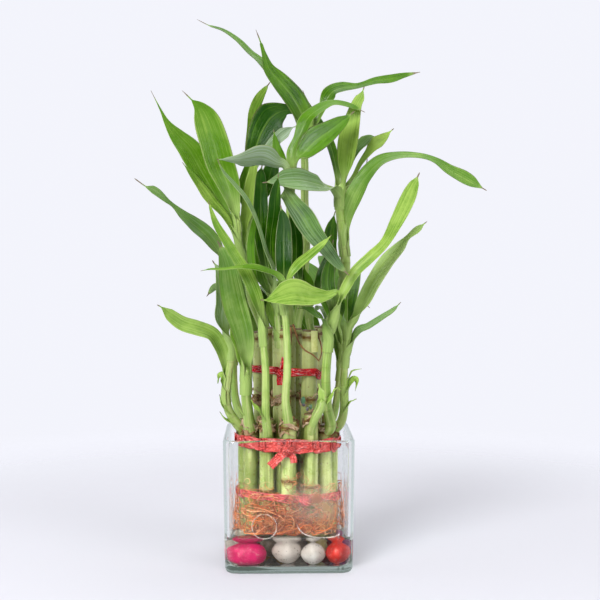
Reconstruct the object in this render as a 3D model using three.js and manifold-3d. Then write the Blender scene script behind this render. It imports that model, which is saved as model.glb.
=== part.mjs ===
// Lucky bamboo: two tiers of cut canes with leafy shoots, tied with red ribbon, standing on pebbles
// in a square glass vase with a little water. Millimetres, +Z up, origin at the middle of the vase's base.
import * as THREE from "three";
import { mergeVertices } from "three/addons/utils/BufferGeometryUtils.js";
import Module from "manifold-3d";

const wasm = await Module();
wasm.setup();

const gap = 0.3; // left between pieces that touch
const up = new THREE.Vector3(0, 0, 1);

const vase = { width: 80, height: 81, floor: 3.5, wall: 3, corner: 8, draft: 1 };
const waterLevel = 21.7;
const cane = { foot: 22, sides: 8, swelling: 0.5, topNode: 4.5, nodeSpacing: 38, frontSpacing: 30 };
const outerTops = [86, 88, 92.5, 92, 95.5, 87, 85, 89, 87, 88, 91, 86]; // from the left, round the front
const innerTops = [144.5, 147, 146, 147, 145, 146, 148]; // from the left, round the front, then the middle
const outerTier = { ring: 26.5, radius: 4.7, splay: 0, turn: -90 };
const innerTier = { ring: 16.2, radius: 5, splay: 2.2, turn: -75 };
const stemRadius = { foot: 2.6, taper: 0.8, bulb: 0.8 };
const bladeRib = 1; // thickness of a blade at its rib; its edges are sharp
const stalkWidth = 3; // of a leaf where it leaves its stem
const turnedBy = 22; // how far along a leaf its upper face has turned from the stem the way it is given
const clearance = 2.6; // between a leaf placed by rule and everything near it

const finish = (colour, roughness, extra = {}) =>
  new THREE.MeshStandardMaterial({ color: colour, roughness, metalness: 0, ...extra });
const materials = {
  glass: finish(0xdfeee8, 0.05, { transparent: true, opacity: 0.35 }),
  water: finish(0xe6ece4, 0.02, { transparent: true, opacity: 0.4 }),
  cane: finish(0xa9b96a, 0.45),
  leaf: finish(0x4f8a2c, 0.4),
  root: finish(0xc8682e, 0.7),
  ribbon: finish(0xd8202c, 0.3),
};

const group = new THREE.Group();

function addMesh(name, geometry, material) {
  geometry.computeVertexNormals();
  const mesh = new THREE.Mesh(geometry, material);
  mesh.name = name;
  group.add(mesh);
  return mesh;
}

// Repeatable random numbers from 0 to 1.
function randomSource(seed) {
  let state = seed;
  return () => {
    state = (state * 16807) % 2147483647;
    return state / 2147483647;
  };
}

// A closed skin through rings of points, flat at both ends; a ring of one point is a tip.
// The two halves of a ring are split into triangles alike, so that a thin blade's faces never cross.
function skin(rings) {
  const points = rings.flat();
  const starts = [];
  let next = 0;
  for (const ring of rings) {
    starts.push(next);
    next += ring.length;
  }
  const index = [];
  const fan = (ring, start, flip) => {
    for (let i = 1; i < ring.length - 1; i++)
      index.push(...(flip ? [start, start + i + 1, start + i] : [start, start + i, start + i + 1]));
  };
  fan(rings[0], starts[0], true);
  fan(rings.at(-1), starts.at(-1), false);
  for (let k = 0; k < rings.length - 1; k++) {
    const [a, b] = [rings[k].length, rings[k + 1].length];
    const sides = Math.max(a, b);
    for (let i = 0; i < sides; i++) {
      const j = (i + 1) % sides;
      const [low, lowNext] = [starts[k] + (i % a), starts[k] + (j % a)];
      const [high, highNext] = [starts[k + 1] + (i % b), starts[k + 1] + (j % b)];
      if (b === 1) index.push(low, lowNext, high);
      else if (a === 1) index.push(low, highNext, high);
      else if (i < sides / 2) index.push(low, lowNext, highNext, low, highNext, high);
      else index.push(low, lowNext, high, lowNext, highNext, high);
    }
  }
  const geometry = new THREE.BufferGeometry().setFromPoints(points).setIndex(index);
  if (volumeOf(geometry) < 0) index.reverse();
  return geometry.setIndex(index);
}

function volumeOf(geometry) {
  const at = geometry.getAttribute("position");
  const [a, b, c] = [new THREE.Vector3(), new THREE.Vector3(), new THREE.Vector3()];
  let volume = 0;
  for (let i = 0; i < geometry.index.count; i += 3) {
    a.fromBufferAttribute(at, geometry.index.getX(i));
    b.fromBufferAttribute(at, geometry.index.getX(i + 1));
    c.fromBufferAttribute(at, geometry.index.getX(i + 2));
    volume += a.dot(b.cross(c)) / 6;
  }
  return volume;
}

function toSolid(geometry) {
  const plain = geometry.clone();
  plain.deleteAttribute("normal");
  plain.deleteAttribute("uv");
  const merged = mergeVertices(plain, 1e-4);
  return new wasm.Manifold(
    new wasm.Mesh({
      numProp: 3,
      vertProperties: merged.attributes.position.array,
      triVerts: new Uint32Array(merged.index.array),
    }),
  );
}

function toGeometry(solid) {
  const mesh = solid.getMesh();
  return new THREE.BufferGeometry()
    .setAttribute("position", new THREE.BufferAttribute(mesh.vertProperties, 3))
    .setIndex(new THREE.BufferAttribute(mesh.triVerts, 1));
}

const joined = (solids) => wasm.Manifold.union(solids);

// The largest piece of a solid, without the slivers and loose scraps that a cut can leave.
const mainBody = (solid) =>
  solid
    .simplify(0.02)
    .decompose()
    .reduce((most, piece) => (piece.volume() > most.volume() ? piece : most));

// A square with round corners, at one height.
function squareRing(half, corner, z, steps = 3) {
  const ring = [];
  for (let side = 0; side < 4; side++)
    for (let i = 0; i <= steps; i++) {
      const turn = (side + i / steps) * (Math.PI / 2);
      const middle = new THREE.Vector2(1, 1).rotateAround(new THREE.Vector2(), side * (Math.PI / 2));
      ring.push(
        new THREE.Vector3(
          middle.x * (half - corner) + corner * Math.cos(turn),
          middle.y * (half - corner) + corner * Math.sin(turn),
          z,
        ),
      );
    }
  return ring;
}

// How far the vase's inner wall stands from the middle at height z, above the rounding at its floor.
const innerHalf = (z) => vase.width / 2 - vase.wall - vase.draft * (1 - z / vase.height);

function makeVase() {
  const half = vase.width / 2;
  const { corner, height: top, floor, wall } = vase;
  const rings = [
    squareRing(half - 3.4, corner - 2, 0),
    squareRing(half - 1.9, corner - 1, 0.7),
    squareRing(half - 1, corner, 3),
    squareRing(half - 0.9, corner, 9),
    squareRing(half, corner, top - 1.6),
    squareRing(half - 0.4, corner, top - 0.4),
    squareRing(half - 1.4, corner - 1, top),
    squareRing(half - wall + 0.4, corner - wall + 1, top - 0.4),
    squareRing(half - wall, corner - wall, top - 1.6),
    squareRing(innerHalf(floor + 4), corner - wall, floor + 4),
    squareRing(innerHalf(floor + 1) - 1.4, corner - wall, floor + 1),
    squareRing(innerHalf(floor) - 4, corner - wall, floor),
  ];
  addMesh("vase", skin(rings), materials.glass);
}

// The pebbles lie in one layer on the vase's floor, apart from one small one that lies on two others.
const white = 0xdedcd6;
const pebbles = [
  { name: "pebble_pink", at: [-24.9, -27], size: [10.6, 8.2, 6.7], turn: -2, colour: 0xd8146e },
  { name: "pebble_white_large", at: [-1, -24.4], size: [8.9, 8.4, 7.8], turn: 0, colour: white },
  { name: "pebble_white_round", at: [14.8, -28.4], size: [7.2, 6.9, 6.9], turn: 0, colour: white },
  { name: "pebble_red", at: [29.1, -27], size: [6.5, 8.2, 7.2], turn: 0, colour: 0xc92a1c },
  { name: "pebble_yellow", at: [17.4, -13.2], size: [6.8, 6.8, 7.4], turn: 30, colour: 0xd6d2a0 },
  { name: "pebble_purple", at: [30, -10.2], size: [5.6, 8, 7], turn: 0, colour: 0x8a2f74 },
  { name: "pebble_grey", at: [-27.2, -9.4], size: [8.4, 8.2, 7.6], turn: 0, colour: 0xd2d0c8 },
  { name: "pebble_stone", at: [-10.6, -7.4], size: [7, 7.6, 8.6], turn: 30, colour: 0xb5afa4 },
  { name: "pebble_middle", at: [5.4, -2.2], size: [7, 8, 8.6], turn: 60, colour: white },
  { name: "pebble_orange", at: [-26.6, 8.8], size: [8.8, 8.2, 8.6], turn: 10, colour: 0xd5682c },
  { name: "pebble_back_left", at: [-24.6, 27], size: [10.2, 8.4, 8.4], turn: -6, colour: white },
  { name: "pebble_back", at: [-7, 13], size: [8.4, 9.8, 8.6], turn: -20, colour: 0xc6a63c },
  { name: "pebble_back_right", at: [8.8, 25.6], size: [8, 9.6, 8.6], turn: 20, colour: 0xd8146e },
  { name: "pebble_corner", at: [26.8, 25.4], size: [8.6, 8.2, 8.4], turn: 50, colour: 0x3c6fa8 },
  { name: "pebble_orange_red", at: [27.6, 7.2], size: [8, 8.2, 6.4], turn: 0, colour: 0xd23c22 },
  { name: "pebble_small", at: [32.4, -0.6], size: [3.4, 4, 3.6], lift: 8.9, turn: 0, colour: white },
];

// A pebble is an egg of two half axes, a little squarer than an ellipsoid; grow is added all over it.
function pebbleGeometry({ at, size, turn, lift = 0 }, grow = 0) {
  const geometry = new THREE.SphereGeometry(1, 8, 5);
  geometry.rotateX(Math.PI / 2);
  const position = geometry.getAttribute("position");
  const point = new THREE.Vector3();
  for (let i = 0; i < position.count; i++) {
    point.fromBufferAttribute(position, i);
    const square = 1 + 0.07 * (1 - Math.pow(Math.abs(point.z), 3)) * Math.cos(4 * Math.atan2(point.y, point.x));
    position.setXYZ(
      i,
      point.x * square * (size[0] * (1 - 0.06 * point.y) + grow),
      point.y * square * (size[1] + grow),
      point.z * (size[2] + grow),
    );
  }
  return geometry
    .rotateZ(THREE.MathUtils.degToRad(turn))
    .translate(at[0], at[1], vase.floor + gap + size[2] + lift);
}

function makePebbles() {
  for (const pebble of pebbles)
    addMesh(pebble.name, pebbleGeometry(pebble), finish(pebble.colour, 0.45));
}

// Water up to its level, with a hollow round each pebble that is open where the pebble stands.
function makeWater() {
  const foot = vase.floor + gap + 0.1;
  const round = vase.corner - vase.wall;
  const body = toSolid(
    skin([
      squareRing(innerHalf(foot) - 3.6, round, foot),
      squareRing(innerHalf(vase.floor + 1) - 1.4 - gap, round, vase.floor + 1 + gap),
      squareRing(innerHalf(vase.floor + 4) - gap, round, vase.floor + 4),
      squareRing(innerHalf(waterLevel) - gap, round, waterLevel),
    ]),
  );
  const hollows = joined(pebbles.map((pebble) => toSolid(pebbleGeometry(pebble, gap))));
  addMesh("water", toGeometry(mainBody(body.subtract(hollows))), materials.water);
}

// The canes: an outer ring, an inner ring and one in the middle, each leaning a little.
function caneList() {
  const random = randomSource(417);
  const list = [];
  const addCane = (name, tier, angle, ring, top) => {
    const turn = THREE.MathUtils.degToRad(angle);
    const out = new THREE.Vector3(Math.sin(turn), -Math.cos(turn), 0);
    const foot = out.clone().multiplyScalar(ring).setZ(cane.foot);
    const head = out.clone().multiplyScalar(ring + tier.splay).setZ(top);
    head.x += (random() - 0.5) * 1.2;
    head.y += (random() - 0.5) * 1.2;
    list.push({ name, out, angle, foot, head, radius: tier.radius - 0.25 * random(), jitter: random() });
  };
  outerTops.forEach((top, i) =>
    addCane(`outer_${String(i + 1).padStart(2, "0")}`, outerTier, outerTier.turn + 30 * i, outerTier.ring, top),
  );
  innerTops
    .slice(0, 6)
    .forEach((top, i) => addCane(`inner_${i + 1}`, innerTier, innerTier.turn + 60 * i, innerTier.ring, top));
  addCane("inner_7", { ...innerTier, splay: 0 }, 0, 0, innerTops[6]);
  return list;
}

// The middle of a cane at height z.
const caneAt = (one, z) => one.foot.clone().lerp(one.head, (z - one.foot.z) / (one.head.z - one.foot.z));

// The heights of a cane's nodes over its foot, spaced from the one below its head.
function caneNodes(one) {
  const spacing = one.name === "outer_04" ? cane.frontSpacing : cane.nodeSpacing;
  const heights = [];
  for (let z = one.head.z - one.foot.z - cane.topNode; z > 6; z -= spacing + 3 * one.jitter) heights.unshift(z);
  return heights;
}

// A cane is turned from a profile with a ridge at each node, then leant; grow is added to its radius.
function caneGeometry(one, grow = 0) {
  const radius = one.radius + grow;
  const length = one.head.z - one.foot.z + grow;
  const profile = [new THREE.Vector2(0, -grow), new THREE.Vector2(radius, -grow)];
  for (const z of caneNodes(one))
    profile.push(
      new THREE.Vector2(radius, z - 2.4),
      new THREE.Vector2(radius + cane.swelling, z),
      new THREE.Vector2(radius, z + 2.4),
    );
  profile.push(
    new THREE.Vector2(radius, length - 1.2),
    new THREE.Vector2(radius - 0.7, length),
    new THREE.Vector2(0, length - 0.5),
  );
  const geometry = new THREE.LatheGeometry(profile, cane.sides);
  geometry.rotateX(Math.PI / 2);
  const lean = one.head.clone().sub(one.foot).divideScalar(one.head.z - one.foot.z);
  return geometry.applyMatrix4(
    new THREE.Matrix4().set(1, 0, lean.x, one.foot.x, 0, 1, lean.y, one.foot.y, 0, 0, 1, one.foot.z, 0, 0, 0, 1),
  );
}

// A smooth line through points, read at a share of its length; steps between two points are alike.
const stepsBetween = 8;
function spine(points) {
  const curve = new THREE.CatmullRomCurve3(points, false, "catmullrom", 0.5);
  const steps = (points.length - 1) * stepsBetween;
  const line = Array.from({ length: steps + 1 }, (_, i) => curve.getPoint(i / steps));
  const along = [0];
  for (let i = 1; i <= steps; i++) along.push(along[i - 1] + line[i].distanceTo(line[i - 1]));
  const tangents = line.map((_, i) =>
    line[Math.min(i + 1, steps)].clone().sub(line[Math.max(i - 1, 0)]).normalize(),
  );
  const length = along[steps];
  const at = (share) => {
    const reach = share * length;
    let i = 1;
    while (i < steps && along[i] < reach) i++;
    const part = (reach - along[i - 1]) / (along[i] - along[i - 1]);
    return {
      point: line[i - 1].clone().lerp(line[i], part),
      tangent: tangents[i - 1].clone().lerp(tangents[i], part).normalize(),
    };
  };
  return { at, length, line, tangents, along };
}

// The part of a direction that is at right angles to a tangent.
const squareTo = (tangent, direction) =>
  direction.clone().addScaledVector(tangent, -direction.dot(tangent)).normalize();

// How far a leaf's edges rise over its rib, as a share of its half width.
const channel = (share) => 0.14 + 0.45 * Math.pow(1 - share, 3);

// The rings of a leaf, one at each point: left edge, rib above, right edge, rib below.
// Near the stem its upper face looks inward; further on it looks the way the leaf is given.
function leafRings(leaf) {
  const { line, tangents, along, length } = spine(leaf.path);
  return leaf.path.map((_, i) => {
    const [point, tangent] = [line[i * stepsBetween], tangents[i * stepsBetween]];
    if (i === leaf.path.length - 1) return [point];
    const share = along[i * stepsBetween] / length;
    const turned = Math.min(1, along[i * stepsBetween] / turnedBy);
    const tipped = Math.max(0, (share - 0.4) / 0.6);
    const looking = leaf.inward.clone().lerp(leaf.face, turned).lerp(leaf.tipFace, tipped);
    const normal = squareTo(tangent, looking);
    const side = tangent.clone().cross(normal);
    const half = leaf.widths[i] / 2;
    const rise = (channel(share) * half) / 2;
    const edge = (way) =>
      point.clone().addScaledVector(side, way * half).addScaledVector(normal, rise);
    const rib = (way) => point.clone().addScaledVector(normal, (way * bladeRib) / 2 - rise);
    return [edge(-1), rib(1), edge(1), rib(-1)];
  });
}

// A leaf leaves its stem at a share of the stem's length, and passes through the points given.
function leafOn(stem, { from, through, face, tipFace = face }) {
  const root = stem.at(from).point;
  const points = through.map(([x, y, z]) => new THREE.Vector3(x, y, z));
  return {
    path: [root, ...points],
    widths: [stalkWidth, ...through.map((point) => point[3])],
    inward: root.clone().sub(points[0]).setZ(0).normalize(),
    face: new THREE.Vector3(...face).normalize(),
    tipFace: new THREE.Vector3(...tipFace).normalize(),
  };
}

// The shoots: the line of each stem from its foot up, then the leaves that show from the front. A leaf
// leaves its stem at a share of the stem's length and passes through points, each with the leaf's
// width there; its upper face looks along the direction given. More leaves are placed by rule.
const shoots = [
  {
    cane: "outer_01",
    stem: [[-32, -2, 86], [-37, -4, 94], [-39, -6, 103], [-38, -7, 114], [-36, -8, 126], [-36, -8, 136]],
    leaves: [
      {
        from: 0.65,
        face: [0.2, -1, 0.8],
        through: [[-39, -10, 125, 6.5], [-42, -12, 135, 9], [-47, -14, 143, 10.5],
          [-56, -16, 147, 11.5], [-65, -18, 150, 11], [-72, -20, 155, 9], [-77, -22, 160, 5],
          [-80, -23, 162, 0]],
      },
      {
        from: 0.98,
        face: [0.7, -1, 0.1],
        through: [[-39, -9, 143, 9], [-41, -10, 153, 12.5], [-40, -10, 162, 12.5],
          [-40, -11, 172, 12.5], [-42, -12, 181, 8.5], [-47, -13, 189, 0]],
      },
      {
        from: 0.52,
        face: [0.4, -0.6, 1],
        through: [[-40, -8, 116, 8.5], [-43, -8, 117, 5.5], [-44, -8, 112, 0]],
      },
      {
        from: 0.18,
        face: [1, -0.8, 0.6],
        through: [[-41, -6, 98, 9], [-43, -6, 105, 0]],
      },
      {
        from: 0.09,
        face: [1, -0.8, 0.6],
        through: [[-39, -5, 89, 8.5], [-43, -5, 94, 0]],
      },
    ],
    back: 0,
    radius: 3,
  },
  {
    cane: "outer_02",
    stem: [[-24, -16, 87], [-25, -19, 96], [-26, -21, 106], [-26, -22, 117], [-26, -23, 124]],
    leaves: [
      {
        from: 0.99,
        face: [0.3, -1, 0.1],
        through: [[-26, -24, 133, 9.5], [-28, -26, 146, 13.5], [-32, -28, 160, 15.5],
          [-35, -30, 174, 15], [-37, -30, 186, 11.5], [-40, -30, 195, 5.5], [-43, -30, 201, 0]],
      },
      {
        from: 0.79,
        face: [0.6, -1, 0],
        through: [[-30, -25, 128, 4], [-31, -26, 137, 5], [-34, -26, 144, 4], [-35, -26, 150, 0]],
      },
      {
        from: 0.17,
        face: [1, -0.8, 0.4],
        through: [[-29, -20, 96, 5.5], [-31, -20, 100, 0]],
      },
    ],
    back: 0,
    radius: 3.6,
  },
  {
    cane: "outer_03",
    stem: [[-13, -28, 85], [-14, -31, 95], [-14, -33, 107], [-14, -33, 122], [-15, -33, 135], [-16, -33, 146]],
    leaves: [
      {
        from: 0.99,
        face: [0.5, -1, 0],
        through: [[-17, -33, 156, 6.5], [-20, -34, 168, 8.5], [-25, -35, 180, 8.5],
          [-31, -37, 190, 7], [-37, -38, 200, 6], [-43, -38, 210, 4.5], [-46, -38, 218, 2.5],
          [-48, -37, 225, 0]],
      },
      {
        from: 0.99,
        face: [0.3, -1, 0],
        through: [[-19, -30, 165, 4], [-22, -30, 183, 5], [-23, -29, 198, 5], [-21, -28, 212, 3],
          [-20, -28, 218, 0]],
      },
      {
        from: 0.15,
        face: [1, -1, 0],
        through: [[-17, -34, 97, 5], [-21, -34, 102, 4.5], [-23, -34, 106, 0]],
      },
    ],
    back: 0,
  },
  {
    cane: "outer_04",
    stem: [[-1, -32, 96], [-2, -35, 106], [-1, -37, 122], [-1, -36, 138], [-2, -35, 153], [-4, -34, 165]],
    leaves: [
      {
        from: 0.99,
        face: [-0.6, -1, 0],
        through: [[0, -37, 178, 4], [5, -38, 186, 6], [12, -41, 192, 5.5], [19, -44, 198, 4],
          [25, -45, 204, 0]],
      },
      {
        from: 0.99,
        face: [0, -0.45, 1],
        through: [[-5, -37, 176, 7], [-8, -39, 180, 9.5], [-14, -42, 183, 9.5],
          [-21, -44, 185, 8.5], [-30, -46, 185, 4.5], [-39, -47, 184, 3.5], [-46, -48, 184, 2.5],
          [-52, -48, 183, 0]],
      },
      {
        from: 0.99,
        face: [0, -1, 0.1],
        through: [[-3, -33, 176, 7], [-3, -33, 188, 10], [-3, -31, 201, 10], [-3, -29, 212, 7.5],
          [-5, -27, 223, 0]],
      },
    ],
    back: 0,
  },
  {
    cane: "outer_05",
    stem: [[14, -28, 87], [16, -32, 94], [19, -33, 100], [20, -32, 105]],
    leaves: [
      {
        from: 0.89,
        face: [0.2, -1, 0],
        through: [[20, -32, 107, 4.5], [19, -31, 111, 3.5], [18, -30, 115, 0]],
      },
      {
        from: 0.64,
        face: [-0.5, -1, 0],
        through: [[23, -31, 103, 3], [26, -30, 107, 2.5], [28, -29, 112, 0]],
      },
    ],
    back: 0,
  },
  {
    cane: "outer_06",
    stem: [[26, -18, 87], [24, -20, 97], [23, -21, 109], [23, -22, 122], [24, -22, 134], [25, -23, 144], [28, -24, 154]],
    leaves: [
      {
        from: 0.99,
        face: [-0.4, -1, 0.2],
        through: [[32, -25, 166, 6], [40, -25, 181, 7], [50, -25, 191, 7], [59, -24, 200, 6.5],
          [67, -21, 214, 9], [73, -18, 226, 10], [77, -16, 235, 7], [81, -14, 243, 0]],
      },
      {
        from: 0.99,
        face: [0, -1, 0.5],
        through: [[30, -28, 169, 2.5], [23, -33, 168, 6.5], [14, -38, 168, 13], [4, -43, 170, 18],
          [-5, -47, 168, 14], [-12, -49, 166, 7.5], [-17, -50, 166, 0]],
      },
      {
        from: 0.82,
        face: [0, -0.6, 1],
        through: [[21, -27, 153, 13.5], [16, -31, 157, 12], [10, -33, 160, 6], [5, -34, 160, 0]],
      },
      {
        from: 0.25,
        face: [-0.4, -0.6, 1],
        through: [[27, -24, 108, 5], [30, -24, 111, 5], [32, -24, 109, 0]],
      },
      {
        from: 0.98,
        face: [0.2, -1, 0],
        through: [[27, -22, 161, 6.5], [24, -20, 174, 9], [25, -18, 185, 6.5], [27, -17, 194, 0]],
      },
    ],
    back: 0,
    radius: 3.2,
  },
  {
    cane: "outer_07",
    stem: [[33, -2, 86], [35, -4, 95], [35, -5, 106], [35, -6, 117], [36, -7, 130], [37, -8, 142], [38, -8, 148]],
    leaves: [
      {
        from: 0.99,
        face: [-0.4, -1, 0.3],
        through: [[43, -9, 155, 8], [48, -9, 165, 9.5], [53, -10, 175, 10], [61, -11, 188, 10],
          [69, -12, 197, 7.5], [74, -12, 203, 3.5], [80, -12, 208, 4.5], [86, -12, 213, 0]],
      },
      {
        from: 0.74,
        face: [0, -0.6, 1],
        through: [[43, -10, 144, 8], [50, -11, 148, 6.5], [59, -12, 154, 5.5], [65, -12, 158, 4],
          [70, -12, 163, 0]],
      },
      {
        from: 0.89,
        face: [-1, -1, 0],
        through: [[34, -11, 153, 6], [33, -12, 164, 6.5], [34, -13, 175, 0]],
      },
      {
        from: 0.3,
        face: [-0.3, -0.6, 1],
        through: [[38, -7, 110, 7], [41, -7, 115, 6], [43, -7, 113, 2.5], [42, -7, 107, 0]],
      },
      {
        from: 0.15,
        face: [-1, -0.8, 0.5],
        through: [[38, -6, 99, 7], [41, -6, 101, 4.5], [43, -6, 102, 0]],
      },
      {
        from: 0.44,
        face: [-0.3, -0.6, 1],
        through: [[39, -7, 118, 3], [41, -7, 120, 3], [46, -7, 121, 0]],
      },
    ],
    back: 0,
  },
  {
    cane: "inner_4",
    stem: [[22, 6, 142], [29, 8, 153], [35, 11, 170], [37, 12, 186], [35, 12, 205], [33, 11, 223], [33, 10, 232]],
    leaves: [
      {
        from: 0.99,
        face: [-0.4, -1, 0],
        through: [[36, 9, 241, 6], [37, 7, 252, 11], [38, 5, 263, 13.5], [40, 4, 274, 11.5],
          [43, 3, 286, 7.5], [46, 2, 292, 5.5], [48, 2, 298, 0]],
      },
      {
        from: 0.97,
        face: [0, -1, 0.8],
        through: [[29, 5, 234, 9.5], [21, -3, 236, 14.5], [10, -12, 238, 19.5],
          [1, -17, 238, 17.5], [-8, -21, 237, 11], [-16, -24, 236, 0]],
      },
      {
        from: 0.99,
        face: [0.5, -0.9, 0.4],
        through: [[32, 13, 241, 4.5], [30, 16, 253, 6.5], [27, 20, 264, 7.5], [20, 25, 278, 7],
          [13, 27, 290, 3.5], [10, 28, 299, 0]],
      },
      {
        from: 0.67,
        face: [0, -0.75, 1],
        tipFace: [-0.2, -1, 0.9],
        through: [[37, 10, 213, 7], [41, 7, 226, 13], [48, 4, 240, 13.5], [57, 0, 250, 13],
          [68, -4, 254, 8.5], [81, -7, 254, 5.5], [91, -9, 251, 5.5], [100, -10, 245, 9],
          [109, -11, 240, 11], [116, -12, 236, 7.5], [123, -12, 232, 0]],
      },
      {
        from: 0.74,
        face: [-1, -0.8, 0],
        through: [[42, 14, 224, 4.5], [47, 14, 237, 7.5], [50, 14, 246, 6.5], [51, 15, 254, 0]],
      },
      {
        from: 0.99,
        face: [-0.5, -0.9, 0.5],
        through: [[42, 17, 242, 3], [47, 19, 251, 4], [53, 21, 259, 6.5], [57, 22, 264, 11],
          [62, 23, 268, 7.5], [69, 24, 274, 0]],
      },
      {
        from: 0.99,
        face: [-0.3, -0.9, 0.8],
        through: [[39, 21, 248, 4], [44, 22, 259, 6], [49, 24, 265, 8.5], [54, 26, 269, 7],
          [59, 28, 268, 0]],
      },
      {
        from: 0.47,
        face: [0.6, -1, 0],
        through: [[29, 9, 194, 6], [27, 7, 204, 10], [28, 6, 212, 7], [30, 5, 220, 0]],
      },
    ],
    back: 0,
    radius: 3.5,
  },
  {
    cane: "inner_5",
    stem: [[6, 21, 149], [9, 22, 163], [11, 21, 182], [12, 20, 205], [11, 19, 227], [11, 17, 250], [10, 16, 263]],
    leaves: [
      {
        from: 0.99,
        face: [0.4, -1, 0.3],
        through: [[12, 14, 274, 8.5], [9, 12, 282, 14], [3, 9, 292, 15.5], [-5, 6, 301, 13.5],
          [-12, 4, 309, 8.5], [-15, 3, 318, 3.5], [-17, 3, 325, 2], [-20, 3, 333, 0]],
      },
      {
        from: 0.99,
        face: [0.3, -0.7, 1],
        through: [[7, 20, 279, 7], [0, 21, 291, 9], [-7, 22, 303, 9], [-17, 22, 316, 8.5],
          [-24, 22, 322, 7], [-32, 22, 330, 6], [-41, 22, 336, 4.5], [-50, 22, 339, 2.5],
          [-58, 22, 343, 0]],
      },
      {
        from: 0.99,
        face: [0, -0.75, 1],
        tipFace: [0, -1, 0.6],
        through: [[18, 18, 277, 4.5], [23, 18, 287, 6.5], [28, 18, 296, 13], [35, 17, 299, 12],
          [45, 16, 300, 6], [56, 14, 303, 7], [66, 12, 304, 7.5], [74, 10, 306, 4.5],
          [84, 9, 308, 0]],
      },
    ],
    back: 0,
    radius: 3,
  },
  {
    cane: "inner_7",
    stem: [[2, 5, 143], [1, 3, 154], [1, 1, 170], [1, 0, 195], [1, -2, 219], [2, -4, 240]],
    leaves: [
      {
        from: 0.99,
        face: [0, 0.8, 1],
        through: [[-2, -9, 247, 6], [-8, -12, 249, 11], [-16, -16, 252, 20.5],
          [-25, -20, 251, 16.5], [-32, -23, 250, 7.5], [-43, -24, 250, 0]],
      },
      {
        from: 0.99,
        face: [0, -0.6, 1],
        through: [[2, -3, 255, 6], [7, -3, 266, 7.5], [12, -3, 277, 11.5], [21, -3, 284, 11.5],
          [29, -3, 287, 8.5], [39, -3, 285, 7], [48, -4, 281, 0]],
      },
      {
        from: 0.99,
        face: [-0.3, -1, 0.4],
        through: [[6, -7, 252, 5.5], [10, -7, 256, 13], [17, -8, 263, 18], [26, -9, 269, 14.5],
          [34, -10, 275, 8.5], [41, -10, 281, 0]],
      },
      {
        from: 0.96,
        face: [0.3, -1, 0.6],
        through: [[-3, -12, 234, 5], [1, -19, 226, 10.5], [8, -25, 216, 15], [14, -30, 206, 14],
          [22, -34, 196, 10.5], [29, -37, 187, 6.5], [36, -38, 180, 0]],
      },
      {
        from: 0.99,
        face: [0.5, -1, 0],
        through: [[-4, 1, 252, 6.5], [-7, 2, 259, 6.5], [-9, 3, 271, 0]],
      },
    ],
    back: 0,
  },
  {
    cane: "inner_6",
    stem: [[-14, 14, 144], [-19, 12, 163], [-24, 11, 189], [-25, 10, 218], [-25, 10, 240]],
    leaves: [
      {
        from: 0.99,
        face: [0.2, -1, 0.3],
        through: [[-23, 10, 251, 9], [-20, 10, 261, 13.5], [-16, 11, 271, 18], [-10, 12, 280, 20],
          [-2, 13, 284, 17], [3, 13, 283, 8.5], [7, 14, 280, 0]],
      },
      {
        from: 0.99,
        face: [0, -1, 0.6],
        through: [[-18, 6, 250, 3.5], [-13, 6, 258, 6], [-7, 7, 265, 8], [0, 8, 271, 7.5],
          [6, 9, 274, 0]],
      },
      {
        from: 0.99,
        face: [0.5, -0.8, 0.5],
        through: [[-26, 15, 256, 3.5], [-24, 17, 272, 5], [-22, 18, 283, 7], [-18, 19, 293, 6],
          [-11, 19, 303, 0]],
      },
      {
        from: 0.71,
        face: [0.4, -1, 0],
        through: [[-28, 7, 224, 5.5], [-28, 6, 236, 7.5], [-25, 4, 247, 6], [-23, 2, 257, 0]],
      },
      {
        from: 0.72,
        face: [0.2, -1, 0],
        through: [[-19, 5, 224, 4.5], [-14, 5, 234, 8.5], [-11, 5, 244, 10.5], [-9, 6, 252, 6],
          [-9, 6, 258, 0]],
      },
    ],
    back: 0,
  },
  {
    cane: "inner_1",
    stem: [[-16, -7, 147], [-23, -8, 164], [-26, -9, 183], [-30, -9, 197], [-31, -9, 208], [-32, -9, 215]],
    leaves: [
      {
        from: 0.99,
        face: [0.3, -1, 0.2],
        through: [[-34, -10, 224, 8.5], [-37, -11, 235, 14.5], [-42, -12, 248, 18.5],
          [-46, -13, 262, 19], [-50, -13, 274, 17], [-54, -13, 282, 10.5], [-59, -13, 287, 2.5],
          [-65, -12, 293, 0]],
      },
      {
        from: 0.84,
        face: [0.3, -0.9, 0.5],
        through: [[-39, -8, 218, 6.5], [-46, -7, 231, 10], [-53, -6, 243, 15.5],
          [-61, -5, 257, 16.5], [-69, -4, 266, 11], [-75, -4, 274, 4.5], [-79, -4, 282, 1.5],
          [-85, -4, 294, 0]],
      },
      {
        from: 0.74,
        face: [0.3, -0.6, 1],
        through: [[-38, -12, 214, 7], [-47, -13, 225, 10.5], [-53, -13, 233, 9.5],
          [-59, -14, 241, 6], [-65, -15, 249, 0]],
      },
      {
        from: 0.63,
        face: [0.4, -1, 0],
        through: [[-28, -4, 207, 4.5], [-26, -3, 219, 8], [-24, -3, 233, 8], [-22, -3, 244, 6],
          [-21, -2, 256, 0]],
      },
    ],
    back: 0,
  },
  {
    cane: "outer_12",
    stem: [[-30, 17, 88], [-34, 19, 100], [-35, 19, 120], [-34, 18, 140], [-35, 17, 163], [-38, 16, 182]],
    leaves: [
      {
        from: 0.99,
        face: [0.3, -0.9, 0.7],
        through: [[-44, 14, 194, 9], [-51, 11, 204, 12.5], [-59, 9, 211, 11.5], [-66, 7, 217, 7.5],
          [-72, 6, 223, 3.5], [-77, 4, 227, 4.5], [-83, 3, 232, 6.5], [-89, 1, 235, 6],
          [-96, 0, 240, 0]],
      },
    ],
    back: 2,
    crown: 0.62,
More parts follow.
